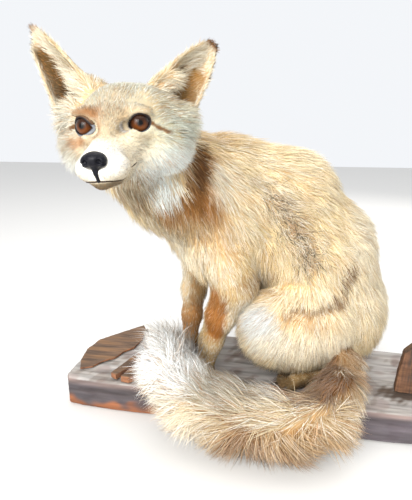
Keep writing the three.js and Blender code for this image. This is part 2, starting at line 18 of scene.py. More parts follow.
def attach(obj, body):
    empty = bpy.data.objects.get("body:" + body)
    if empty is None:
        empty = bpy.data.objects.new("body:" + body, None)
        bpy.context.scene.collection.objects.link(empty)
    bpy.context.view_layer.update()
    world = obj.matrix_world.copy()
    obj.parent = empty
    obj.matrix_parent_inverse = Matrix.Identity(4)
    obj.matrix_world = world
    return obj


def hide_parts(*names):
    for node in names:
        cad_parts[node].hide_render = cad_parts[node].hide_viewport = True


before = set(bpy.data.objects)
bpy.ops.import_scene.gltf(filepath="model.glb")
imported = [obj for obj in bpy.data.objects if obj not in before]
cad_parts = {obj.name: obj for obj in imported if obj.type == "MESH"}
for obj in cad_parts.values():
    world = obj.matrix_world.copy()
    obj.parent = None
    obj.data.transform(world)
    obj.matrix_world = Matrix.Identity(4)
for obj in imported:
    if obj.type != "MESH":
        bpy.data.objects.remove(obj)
bpy.ops.object.select_all(action="DESELECT")
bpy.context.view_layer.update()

MM = 0.001
DENSITY = 1.0
rng = np.random.default_rng(20)


# ------------------------------------------------------------------ the head's axes
# Sides are 1 for the fox's left and -1 for its right.
HEAD = {"place": (-120.0, -194.0, 392.0), "yaw": 4.0, "roll": 3.0}  # in the world, turned in degrees
EYE = {"radius": 10.5, "ahead": 1.0}  # the glass ball, and how far ahead of the head's axes its middle is
EYE_X = {1: 22.0, -1: -26.0}  # the left eye's place and the right one's, which sits wider
BROW = {1: 10.5, -1: 12.0}  # the height of each brow
OPENING_YAW = {1: -24.0, -1: 24.0}  # the way that the lids face, in degrees
GAZE_YAW = {1: -23.0, -1: 8.0}  # the way that the glass looks
TROUGH = {1: 4.6, -1: 8.2}  # how wide the hollow is at each eye's inner corner
# The fold that runs back from each eye's outer corner.
CREASE = {
    1: [(33, 9, 4), (40, 5, 2), (47, 2, -3), (54, -3, -8)],
    -1: [(-36, 8, 4), (-42, 2, 5), (-48, -4, 5), (-54, -10, 2)],
}
# Half of the mouth's line, from under the nose to the corner.
MOUTH = [
    (0.5, 59.5, -44.5), (9, 56.5, -45), (16, 46, -45.5), (21, 32, -43), (25, 18, -40), (27.5, 9, -37.5),
]


def turn_about(axis, degrees):
    """The matrix that turns about axis 0, 1 or 2."""
    c, s = math.cos(math.radians(degrees)), math.sin(math.radians(degrees))
    turned = np.eye(3)
    i, j = (axis + 1) % 3, (axis + 2) % 3
    turned[i, i], turned[i, j], turned[j, i], turned[j, j] = c, -s, s, c
    return turned


HEAD_PLACE = np.array(HEAD["place"])
HEAD_TURN = turn_about(2, HEAD["yaw"] + 180) @ turn_about(1, HEAD["roll"]) @ np.diag([-1.0, 1, 1])


def from_head(points):
    """World places of points given in the head's axes."""
    return HEAD_PLACE + np.asarray(points, float) @ HEAD_TURN.T


def to_head(points):
    """The head's own coordinates of points in the world."""
    return (np.asarray(points) - HEAD_PLACE) @ HEAD_TURN


def unit(vectors):
    vectors = np.asarray(vectors, float)
    return vectors / np.maximum(np.linalg.norm(vectors, axis=-1, keepdims=True), 1e-9)


def level_way(yaw):
    """A level direction so many degrees from straight ahead, in the head's axes."""
    return np.array((-math.sin(math.radians(yaw)), math.cos(math.radians(yaw)), 0.0))


def step(low, high, x):
    """0 below low, 1 above high and smooth between."""
    t = np.clip((x - low) / (high - low), 0, 1)
    return t * t * (3 - 2 * t)


# ------------------------------------------------------------------ round masses
class Egg:
    """An egg with three half-axes, given in world axes or, with in_head, in the head's."""

    def __init__(self, centre, radii, yaw=0, pitch=0, in_head=False):
        self.turn = turn_about(2, yaw) @ turn_about(1, pitch)
        self.centre = np.array(centre, float)
        if in_head:
            self.turn = HEAD_TURN @ self.turn
            self.centre = from_head(centre)
        self.radii = np.array(radii, float)
        self.low = self.centre - max(radii)
        self.high = self.centre + max(radii)

    def distance(self, x, y, z):
        """Roughly how far outside the egg each place is, and below 0 inside."""
        rel = [axis - c for axis, c in zip((x, y, z), self.centre)]
        k0 = k1 = 1e-9
        for i, radius in enumerate(self.radii):
            along = sum(float(self.turn[j, i]) * rel[j] for j in range(3)) / radius
            k0 = k0 + along**2
            k1 = k1 + (along / radius) ** 2
        k0 = np.sqrt(k0)
        return k0 * (k0 - 1) / np.sqrt(k1)


class Cone:
    """A cone with round ends, from a ball at one place to a ball at another."""

    def __init__(self, start, start_radius, end, end_radius):
        self.start = np.array(start, float)
        self.radii = start_radius, end_radius
        axis = np.array(end, float) - self.start
        self.length = float(np.linalg.norm(axis))
        self.axis = axis / self.length
        reach = max(self.radii)
        self.low = np.minimum(self.start, end) - reach
        self.high = np.maximum(self.start, end) + reach

    def distance(self, x, y, z):
        rel = [axis - c for axis, c in zip((x, y, z), self.start)]
        along = sum(float(a) * r for a, r in zip(self.axis, rel))
        across = np.sqrt(np.maximum(sum(r**2 for r in rel) - along**2, 0))
        slope = (self.radii[0] - self.radii[1]) / self.length
        rise = math.sqrt(max(1 - slope**2, 1e-6))
        k = rise * along - slope * across
        side = rise * across + slope * along - self.radii[0]
        near = np.hypot(across, along) - self.radii[0]
        far = np.hypot(across, along - self.length) - self.radii[1]
        return np.where(k < 0, near, np.where(k > rise * self.length, far, side))


def head_egg(centre, radii, yaw=0, pitch=0):
    """An egg given in the head's axes."""
    return Egg(centre, radii, yaw, pitch, in_head=True)


def head_cone(start, start_radius, end, end_radius):
    """A cone given in the head's axes."""
    return Cone(from_head(start), start_radius, from_head(end), end_radius)


def limb(stations, thinner=lambda radius: radius):
    """Cones through stations (x, y, z, radius)."""
    balls = [(np.array(s[:3]), thinner(s[3])) for s in stations]
    return [Cone(a, ra, b, rb) for (a, ra), (b, rb) in zip(balls, balls[1:])]


def inset(radii, depth):
    return [radius - depth for radius in radii]


# Stations of the limbs and the tail, as the frame's solids have them: the coat's own outline.
# A paw is the middle of its pad and its heading in degrees.
FORELEG = {
    "left": [(-36, -50, 228, 40), (-24, -47, 190, 32), (-42, -42, 142, 22.5), (-57, -38, 98, 17.5),
             (-64, -38, 66, 14.5)],
    "right": [(-80, 42, 224, 34), (-91, 47, 190, 25), (-99, 47, 142, 20), (-102, 45, 98, 16.5),
              (-105, 44, 66, 14)],
}
PAWS = {
    "fore_left": ((-72, -39), 188),
    "fore_right": ((-108, 43), 186),
    "hind_left": ((62, -46), 203),
    "hind_right": ((24, 62), 181),
}
SLAB_TOP = 45.0
HEELS = {"hind_left": (130, -10, 62), "hind_right": (108, 62, 62)}
PAW = {"length": 34, "toes": 4, "toe_radius": 7.2, "spread": 9.2}
TAIL = [(128, 48, 110, 26), (128, 10, 92, 26), (124, -45, 86, 30), (114, -96, 80, 36), (92, -128, 62, 42),
        (50, -141, 55, 47), (-10, -142, 57, 50), (-62, -132, 70, 50), (-96, -108, 88, 44),
        (-108, -84, 104, 34)]
TAIL_CORE = 0.5  # the tail's skin to its coat's outline
HAUNCH_FOLD = [(133, -33, 214), (124, -46, 178), (88, -70, 168), (50, -77, 166)]  # above the left knee


def toe_places(place, heading):
    """Each toe's root and tip, and the way that the paw points."""
    ahead = np.array([math.cos(math.radians(heading)), math.sin(math.radians(heading)), 0])
    aside = np.array([-ahead[1], ahead[0], 0])
    toes = []
    for i in range(PAW["toes"]):
        across = (i - (PAW["toes"] - 1) / 2) * PAW["spread"]
        reach = PAW["length"] * (0.62 if abs(across) < PAW["spread"] else 0.42)
        root = np.array([*place, SLAB_TOP + 10]) + aside * across * 0.7
        tip = np.array([*place, SLAB_TOP + 6.5]) + aside * across + ahead * reach
        toes.append((root, tip))
    return toes, ahead


def paw_shapes(name, thin):
    """A paw's pad and toes, their radii less thin."""
    place, heading = PAWS[name]
    toes, ahead = toe_places(place, heading)
    pad = np.array([*place, SLAB_TOP + 9])
    shapes = [Cone(pad - ahead * PAW["length"] * 0.25, 13 - thin, pad, 13 - thin)]
    thick = PAW["toe_radius"]
    shapes += [Cone(root, thick * 0.9 - thin, tip, thick - thin) for root, tip in toes]
    return shapes


def fox_shapes():
    """The masses under the coat, as (region, fillet, shape): the frame's solids less the coat's depth."""
    found = []

    def add(region, fillet, *shapes):
        found.extend((region, fillet, shape) for shape in shapes)

    trunk_coat = 12
    add("trunk", 38, Egg((-50, -8, 284), inset((80, 66, 96), trunk_coat), 12, 12))
    add("trunk", 38, Egg((25, 12, 270), inset((92, 70, 99), trunk_coat), 12, 22))
    add("trunk", 38, Egg((86, 26, 206), inset((84, 72, 98), trunk_coat), 12, 20))
    add("trunk", 38, Egg((124, 38, 130), inset((70, 74, 84), trunk_coat), 12))
    add("trunk", 26, Cone((-40, 4, 324), 40, (46, 11, 309), 38))
    nape = [(-66, -20, 296, 76), (-100, -74, 322, 62), (-124, -122, 352, 52)]
    crest = [(-45, 5, 318, 60), (-96, -55, 338, 48), (-128, -110, 366, 42)]
    add("neck", 28, *limb(nape, lambda r: r - 15), *limb(crest, lambda r: r - 12))
    add("trunk", 26, Egg((-44, -50, 256), inset((48, 32, 66), 11), 12, 10))
    add("trunk", 26, Egg((-68, 34, 256), inset((46, 30, 66), 11), 12, 10))
    add("haunch_left", 22, Egg((60, -36, 130), inset((78, 46, 68), 11), 8, -8))
    add("haunch_left", 20, Egg((22, -46, 132), inset((38, 34, 48), 9), 8))
    add("haunch_right", 22, Egg((36, 84, 130), inset((78, 44, 68), 11), 16, -8))
    add("haunch_right", 20, Egg((-4, 90, 132), inset((38, 32, 48), 9), 16))
    for side, stations in FORELEG.items():
        add(f"fore_{side}", 11, *limb(stations, lambda r: r - 1.5 - 0.2 * (r - 14)))
        add(f"fore_{side}", 4, *paw_shapes(f"fore_{side}", 1.6))
    for name, heel in HEELS.items():
        toes = (*PAWS[name][0], SLAB_TOP + 9)
        middle = tuple((a + b) / 2 for a, b in zip(heel, toes))
        foot = [(*heel, 13), (*middle, 11), (*toes, 10.5)]
        add(name, 8, *limb(foot))
        add(name, 4, *paw_shapes(name, 1.6))
    add("tail", 14, *limb(TAIL, lambda r: TAIL_CORE * r))

    add("head", 14, head_egg((0, -34, 4), inset((48, 46, 40), 6)))
    add("head", 14, head_egg((0, -4, -8), inset((37, 31, 27), 3)))
    add("head", 14, head_cone((0, 4, -20), 20, (0, 54, -29), 12.5))
    add("head", 10, head_cone((0, 8, -36), 16, (0, 49, -43), 9.6))
    for side in (1, -1):
        add("head", 5, head_egg((side * 8.5, 44, -35), inset((16, 20, 14), 2)))
        add("head", 14, head_egg((side * 36, -28, -20), inset((32, 36, 34), 8)))
        add("head", 14, head_cone((side * 34, -30, -22), 16, (side * 50, -54, -25), 6))
        add("head", 6, head_egg((EYE_X[side] + side * 3, 4, BROW[side]), (11, 6, 4), side * -22, side * 4))
    add("head", 14, head_egg((4, -48, -34), inset((42, 40, 38), 13)))
    add("head", 8, head_cone((-24, -44, 33), 9, (-42, -44, 43), 7))
    add("head", 8, head_cone((22, -50, 28), 8, (44, -52, 42), 8))
    add("head", 12, head_cone((26, -24, 23), 8, (40, -36, 16), 8.5))
    add("head", 10, head_egg((-50, -36, 2), (15, 16, 24)))
    add("head", 10, head_egg((50, -46, -2), (15, 14, 20)))
    for side, ear in EAR.items():
        foot, crown = ear.inside(-0.04, 0.42, 0.25), ear.inside(0.42, 0.62, 0.45)
        add(f"ear_{side}", 7, Cone(foot, 11, crown, 4))
    ear = EAR["left"]
    add("ear_left", 7, Cone(ear.inside(-0.08, 0.1, 0.0), 12, ear.inside(0.22, 0.35, 0.1), 6))
    return found


# ------------------------------------------------------------------ ears
# The middles of an ear's foot and its tip, the way that its hollow faces, half its width at the foot, and
# how quickly it narrows.
EARS = {
    "left": {
        "base": (30, -51, 7), "tip": (88, -63, 73), "front": (0.47, 1, 0.06), "half": 32, "taper": 0.47,
    },
    "right": {
        "base": (-41, -43, 11), "tip": (-89, -42, 97), "front": (-0.19, 1, 0.12), "half": 29, "taper": 0.52,
    },
}
EAR_HOLLOW = 0.62  # how deep the ear's cup is to its half width


class Ear:
    """A rolled leaf, open to its front. Its own axes are aside, ahead and up."""

    def __init__(self, side, base, tip, front, half, taper):
        self.medial = 1 if side == "left" else -1
        self.base = from_head(base)
        rise = from_head(tip) - self.base
        self.height = float(np.linalg.norm(rise))
        self.up = rise / self.height
        ahead = unit(HEAD_TURN @ np.array(front, float))
        self.ahead = unit(ahead - self.up * (ahead @ self.up))
        self.aside = np.cross(self.ahead, self.up)
        self.half_base, self.taper = half, taper
        corners = np.array([from_head(base), from_head(tip)])
        self.low = corners.min(0) - half - 4
        self.high = corners.max(0) + 12

    def half(self, s):
        """Half the leaf's width at a height from 0 to 1."""
        return self.half_base * (1 - 0.985 * np.clip(s, 0, 1)) ** self.taper - 2.2

    def inside(self, s, across, behind):
        """The place so high, so far towards the ear's medial edge and so far behind its middle."""
        half = float(self.half(s))
        aside = self.aside * across * self.medial * half
        ahead = self.ahead * half * (0.2 - behind * EAR_HOLLOW)
        return self.base + self.up * s * self.height + aside + ahead

    def frame_of(self, x, y, z):
        """Height from 0 to 1, how far across and behind the middle in half widths, and the half width."""
        rel = [axis - c for axis, c in zip((x, y, z), self.base)]
        s = sum(float(u) * r for u, r in zip(self.up, rel)) / self.height
        half = self.half(s)
        across = sum(float(u) * r for u, r in zip(self.aside, rel))
        ahead = sum(float(u) * r for u, r in zip(self.ahead, rel)) - 0.2 * half
        return s, across / half, -ahead / (half * EAR_HOLLOW), half

    def distance(self, x, y, z):
        """Roughly how far each place is from the leaf's own thickness."""
        s, a, b, half = self.frame_of(x, y, z)
        deep = half * EAR_HOLLOW
        k0 = np.sqrt(a**2 + b**2 + 1e-9)
        k1 = np.sqrt((a / half) ** 2 + (b / deep) ** 2 + 1e-12)
        thick = 2.9 - 0.9 * np.clip(s, 0, 1)
        wall = np.abs(k0 * (k0 - 1) / k1 + thick / 2) - thick / 2
        opening = (-b - 0.3 * (1 - np.clip(s, 0, 1))) * deep
        ends = np.maximum((s - 0.985), (-0.12 - s)) * self.height
        return np.maximum(np.maximum(wall, opening), ends)


EAR = {side: Ear(side, **shape) for side, shape in EARS.items()}


# ------------------------------------------------------------------ the skin
def lines(*stops):
    """Grid lines through stops (place, spacing up to it); the first stop has no spacing."""
    made = [np.array([stops[0][0]], float)]
    for (start, _), (end, spacing) in zip(stops, stops[1:]):
        count = max(1, round((end - start) / spacing))
        made.append(np.linspace(start, end, count + 1)[1:])
    return np.concatenate(made)


class Volume:
    """Distances on a grid whose lines stand close together where detail needs them."""

    FAR = 40.0  # what a place far from everything starts from
    BAND = 6.0  # distances beyond this are not kept when the surface is found

    def __init__(self, *axes):
        self.axes = axes
        self.values = np.full([len(a) for a in axes], self.FAR, np.float32)

    def window(self, low, high):
        """The part of the grid that holds a box, and its lines' places."""
        cut = tuple(
            slice(max(np.searchsorted(a, lo) - 1, 0), np.searchsorted(a, hi) + 1)
            for a, lo, hi in zip(self.axes, low, high)
        )
        x, y, z = (a[c].astype(np.float32) for a, c in zip(self.axes, cut))
        return cut, x[:, None, None], y[None, :, None], z[None, None, :]

    def add(self, shape, fillet):
        """Joins a shape on, with a fillet in the corner."""
        cut, x, y, z = self.window(shape.low - fillet, shape.high + fillet)
        old = self.values[cut]
        new = shape.distance(x, y, z).astype(np.float32)
        h = np.maximum(fillet - np.abs(old - new), 0) / fillet
        self.values[cut] = np.minimum(old, new) - h * h * fillet / 4

    def carve(self, shape, fillet):
        """Takes a shape away, with its edge rounded."""
        cut, x, y, z = self.window(shape.low - fillet, shape.high + fillet)
        old = self.values[cut]
        new = -shape.distance(x, y, z).astype(np.float32)
        h = np.maximum(fillet - np.abs(old - new), 0) / fillet
        self.values[cut] = np.maximum(old, new) + h * h * fillet / 4

    def surface(self):
        """Points in millimetres and faces of four corners, facing out."""
        grid = openvdb.FloatGrid(self.BAND)
        grid.copyFromArray(np.clip(self.values, -self.BAND, self.BAND))
        points, quads = grid.convertToQuads(0.0)
        points = np.stack(
            [np.interp(points[:, i], np.arange(len(a)), a) for i, a in enumerate(self.axes)], 1
        )
        return points, quads


def put_points(mesh, points):
    """Moves a mesh's points to places in millimetres."""
    mesh.vertices.foreach_set("co", (points * MM).astype(np.float32).ravel())


def new_mesh(name, points, faces):
    """A mesh object from points in millimetres and faces that all have the same number of corners."""
    mesh = bpy.data.meshes.new(name)
    corners = faces.shape[1]
    mesh.vertices.add(len(points))
    put_points(mesh, points)
    mesh.loops.add(faces.size)
    mesh.loops.foreach_set("vertex_index", faces.astype(np.int32).ravel())
    mesh.polygons.add(len(faces))
    mesh.polygons.foreach_set("loop_start", np.arange(0, faces.size, corners, dtype=np.int32))
    mesh.update(calc_edges=True)
    mesh.validate()
    mesh.polygons.foreach_set("use_smooth", np.ones(len(mesh.polygons), bool))
    made = bpy.data.objects.new(name, mesh)
    bpy.context.scene.collection.objects.link(made)
    return made


def points_of(mesh):
    """A mesh's points in millimetres."""
    found = np.empty(len(mesh.vertices) * 3, np.float32)
    mesh.vertices.foreach_get("co", found)
    return found.reshape(-1, 3) / MM


def normals_of(mesh):
    found = np.empty(len(mesh.vertices) * 3, np.float32)
    mesh.vertices.foreach_get("normal", found)
    return found.reshape(-1, 3)


SHAPES = fox_shapes()


def smooth_path(points, count):
    """A smooth curve through points, by Catmull-Rom."""
    p = np.asarray(points, float)
    p = np.vstack([2 * p[0] - p[1], p, 2 * p[-1] - p[-2]])
    at = np.linspace(0, len(points) - 1, count)
    i = np.minimum(at.astype(int), len(points) - 2)
    t = (at - i)[:, None]
    a, b, c, d = p[i], p[i + 1], p[i + 2], p[i + 3]
    return 0.5 * (2 * b + (c - a) * t + (2 * a - 5 * b + 4 * c - d) * t**2 + (3 * b - a - 3 * c + d) * t**3)


def build_skin():
    """The skin: every mass joined, with the eyes' sockets, the folds and the nose's seat taken out."""
    volume = Volume(
        lines((-236, 0), (-214, 5), (-24, 1.45), (80, 4.5), (232, 6)),
        lines((-274, 0), (-116, 1.45), (-66, 5), (75, 3.4), (136, 6)),
        lines((24, 0), (44, 5), (72, 2.6), (316, 6), (494, 1.45)),
    )
    for _, fillet, shape in SHAPES:
        volume.add(shape, fillet)
    for ear in EAR.values():
        volume.add(ear, 5)
    for side in (1, -1):
        centre = (EYE_X[side], EYE["ahead"], 0)
        volume.carve(head_egg(centre, [EYE["radius"] + 0.4] * 3), 1)
        opening = np.array(centre) + level_way(OPENING_YAW[side]) * 10
        volume.carve(head_egg(opening, (10.4, 6, 8.2), OPENING_YAW[side]), 2.0)
        inner = EYE_X[side] - side * 7
        volume.carve(head_cone((inner, 16, -2), TROUGH[side], (side * 10, 29, -6), 3.5), 5)
        crease = smooth_path(from_head(CREASE[side]), 6)
        for start, end in zip(crease, crease[1:]):
            volume.carve(Cone(start, 1.5, end, 1.2), 2.0)
    for start, end in zip(HAUNCH_FOLD, HAUNCH_FOLD[1:]):
        under = np.array([start, end]) + (0, 9, -2)
        volume.carve(Cone(under[0], 6, under[1], 6), 7)
    nose_seat = head_egg((0, 65, -28), (10.6, 8, 8))
    volume.carve(nose_seat, 1)
    return new_mesh("skin", *volume.surface())


# ------------------------------------------------------------------ colours of the coat
WHITE = np.array((0.89, 0.91, 0.91))
CREAM = np.array((0.84, 0.78, 0.62))
PALE = np.array((0.84, 0.73, 0.50))
GOLD = np.array((0.90, 0.73, 0.41))
TAN = np.array((0.62, 0.40, 0.18))
RUST = np.array((0.44, 0.19, 0.05))
BROWN = np.array((0.17, 0.085, 0.035))
DARK = np.array((0.045, 0.03, 0.022))
ASH = np.array((0.44, 0.38, 0.29))
HOLLOW_BROWN = np.array((0.38, 0.225, 0.075))
FACE_TAN = np.array((0.44, 0.33, 0.20))
FACE_RUST = np.array((0.33, 0.165, 0.07))
FACE_GREY = np.array((0.88, 0.96, 0.96))
# Tan under the jaw, darkened as painted shade under the head: for the chin, the jaw's underside and the
# throat.
JAW_TAN_AND_SHADE = np.array((0.40, 0.32, 0.21))
TEAR_GREY = np.array((0.56, 0.62, 0.70))


def mixed(colours, other, cover):
    """Colours with another laid over them, as fully as cover says for each."""
    cover = np.clip(cover, 0, 1)[:, None]
    return colours * (1 - cover) + other * cover


def ripple(points, size, seed):
    """Smooth noise from -1 to 1 with features about size millimetres across."""
    waves = np.random.default_rng(seed)
    total = np.zeros(len(points))
    for _ in range(5):
        direction = unit(waves.normal(size=3)) * (2 * math.pi / size) * waves.uniform(0.6, 1.5)
        bend = unit(waves.normal(size=3)) * (2 * math.pi / size) * 0.7
        phase = waves.uniform(0, 6.28, 2)
        total += np.sin(points @ direction + phase[0] + 1.3 * np.sin(points @ bend + phase[1]))
    return np.clip(total / 2.6, -1, 1)


# A mark is a shape, its colour, how fully it covers and how soft its edge is in millimetres.
def ball(centre, radii, colour, strength=1.0, soft=5.0):
    return Egg(centre, radii), colour, strength, soft


def streak(start, start_radius, end, end_radius, colour, strength=1.0, soft=3.0):
    return Cone(start, start_radius, end, end_radius), colour, strength, soft


def head_ball(centre, radii, colour, strength=1.0, soft=4.0):
    return head_egg(centre, radii), colour, strength, soft


def head_streak(start, start_radius, end, end_radius, colour, strength=1.0, soft=2.0):
    return head_cone(start, start_radius, end, end_radius), colour, strength, soft


def fold_shade_marks(path, radius):
    """Painted shade in a fold on the face: a dark line, as deep as the coat is."""
    middle = (0, -15, -8)
    made = []
    for start, end in zip(path, path[1:]):
        for depth in (0, 3, 6):
            a, b = (np.array(p) - unit(np.array(p, float) - middle) * depth for p in (start, end))
            made.append(head_streak(a, radius, b, radius, BROWN * 0.9, 0.95, 1.6))
    return made


# The dark band behind the cheek is brown coat with painted shade under the cheek.
NECK_MARKS = [  # the throat and the upper end of the dark band, which run on into the head
    ball((-68, -118, 290), (40, 34, 34), TAN * 0.75, 0.85, 14),
    ball((-40, -98, 262), (36, 34, 40), TAN, 0.7, 18),
    ball((-40, -110, 330), (26, 34, 60), RUST, 0.75, 12),
    streak((-40, -70, 398), 8, (-46, -92, 378), 11, BROWN * 0.8, 0.95, 5),
    streak((-46, -92, 378), 11, (-49, -108, 350), 14, BROWN * 0.6, 0.98, 5),
]
BODY_MARKS = [
    ball((60, 30, 330), (120, 60, 60), PALE, 0.6, 30),
    ball((-70, -20, 385), (60, 60, 22), TAN, 0.6, 14),
    ball((160, 10, 215), (50, 80, 90), CREAM, 0.7, 25),
    ball((115, -10, 165), (90, 110, 60), PALE, 0.6, 25),
    *NECK_MARKS,
    # The dark band runs on down the neck: brown coat with painted shade under the cheek.
    streak((-49, -108, 350), 14, (-58, -124, 306), 13, BROWN * 0.7, 0.96, 6),
    ball((-94, -148, 326), (27, 30, 32), FACE_GREY, 0.95, 7),
    # The throat under the chin: tan coat with painted shade under the head.
    ball((-130, -146, 304), (28, 32, 26), JAW_TAN_AND_SHADE * 0.8, 0.9, 8),
    streak((-58, -124, 304), 11, (-96, -132, 282), 9, RUST * 0.7, 0.8, 8),
    ball((-24, -84, 330), (19, 30, 30), CREAM * 1.08, 0.95, 10),
    ball((-8, -78, 290), (16, 30, 34), CREAM, 0.5, 14),
    ball((20, -40, 352), (60, 30, 22), PALE, 0.5, 16),
    ball((-100, -72, 236), (24, 26, 34), CREAM, 0.85, 12),
    ball((-112, -96, 290), (24, 30, 40), ASH, 0.55, 14),
    ball((-50, -88, 216), (32, 22, 24), CREAM, 0.85, 12),
    ball((-118, 20, 250), (40, 50, 60), CREAM, 0.5, 20),
    streak((4, -60, 334), 8, (38, -54, 302), 11, ASH * 1.3, 0.7, 8),
    streak((38, -54, 302), 11, (74, -51, 224), 16, ASH * 1.3, 0.85, 9),
    # Painted shade along the fold above the left knee.
    *[streak(start, 7.5, end, 7.5, BROWN, 0.95, 4) for start, end in zip(HAUNCH_FOLD, HAUNCH_FOLD[1:])],
    ball((10, -62, 196), (30, 30, 14), BROWN, 0.5, 9),
    # Paler low on the haunch: its pale fur, made paler still as painted light where it faces down.
    ball((96, -70, 126), (70, 40, 40), PALE, 0.8, 18),
    ball((100, -76, 110), (80, 34, 24), (0.95, 0.86, 0.66), 0.95, 14),
    ball((66, -84, 158), (34, 20, 10), TAN, 0.5, 8),
    ball((96, -76, 146), (30, 20, 10), RUST, 0.3, 9),
    ball((6, -80, 152), (27, 32, 23), (0.64, 0.68, 0.71), 1.0, 12),
    ball((16, -80, 130), (30, 34, 24), (0.66, 0.69, 0.69), 0.95, 14),
    ball((24, -72, 118), (34, 30, 20), CREAM, 0.9, 12),
    ball((0, 96, 150), (40, 34, 40), WHITE, 0.9, 12),
    ball((-14, 20, 160), (50, 50, 36), CREAM, 0.8, 16),
]
ELBOW_MARK = ball((-48, -66, 148), (23, 26, 42), RUST * 0.85, 0.95, 7)
FORELEG_MARKS = [
    ELBOW_MARK,
    ball((-26, -56, 128), (9, 26, 44), CREAM, 0.9, 6),
    ball((-88, 24, 150), (14, 30, 50), BROWN, 0.6, 10),
    ball((-116, 40, 120), (24, 30, 60), ASH, 0.45, 12),
    ball((-116, 34, 170), (14, 30, 50), CREAM, 0.8, 8),
    ball((-100, 44, 92), (28, 28, 34), RUST * 0.8, 0.7, 14),
    ball((-62, -44, 90), (30, 34, 18), CREAM, 0.6, 10),
    ball((-90, 0, 52), (90, 90, 12), DARK, 0.75, 8),
]
# The hind paws: their own dark fur, darkened to near black as painted shadow between the haunch and the
# tail.
HIND_PAW_DARK_AND_SHADOW_MARKS = [
    ball((70, 10, 52), (120, 120, 16), DARK, 0.85, 10),
]
TAIL_MARKS = [
    # The tail's top where it runs under the haunch: partly its brown hair and partly painted shade of the
    # haunch.
    ball((112, -70, 108), (46, 76, 34), BROWN * 0.85, 0.95, 14),
    ball((66, -122, 104), (44, 34, 18), BROWN * 0.9, 0.9, 10),
    ball((112, -80, 136), (50, 46, 15), CREAM, 0.95, 6),
    ball((130, -70, 113), (24, 28, 12), TAN * 0.7, 0.85, 8),
    ball((30, -128, 112), (34, 24, 12), WHITE * 0.8, 0.85, 7),
    ball((-30, -154, 104), (56, 40, 22), CREAM * 0.44, 0.95, 12),
    ball((-24, -182, 88), (40, 20, 20), PALE * 0.7, 0.7, 12),
    ball((40, -168, 84), (60, 26, 24), PALE * 0.76, 0.6, 14),
    ball((70, -176, 40), (80, 44, 32), TAN * 0.72, 0.85, 12),
    ball((20, -186, 26), (74, 46, 20), BROWN, 0.75, 12),
    ball((90, -150, 56), (34, 50, 30), TAN * 0.8, 0.6, 14),
    streak((-36, -184, 100), 5, (-18, -190, 80), 7, BROWN, 0.85, 6),
    streak((-18, -190, 80), 7, (10, -194, 52), 13, BROWN * 1.2, 0.75, 8),
    ball((-104, -112, 116), (54, 68, 38), WHITE, 1.0, 11),
    ball((-90, -160, 66), (44, 34, 26), CREAM, 0.75, 12),
]
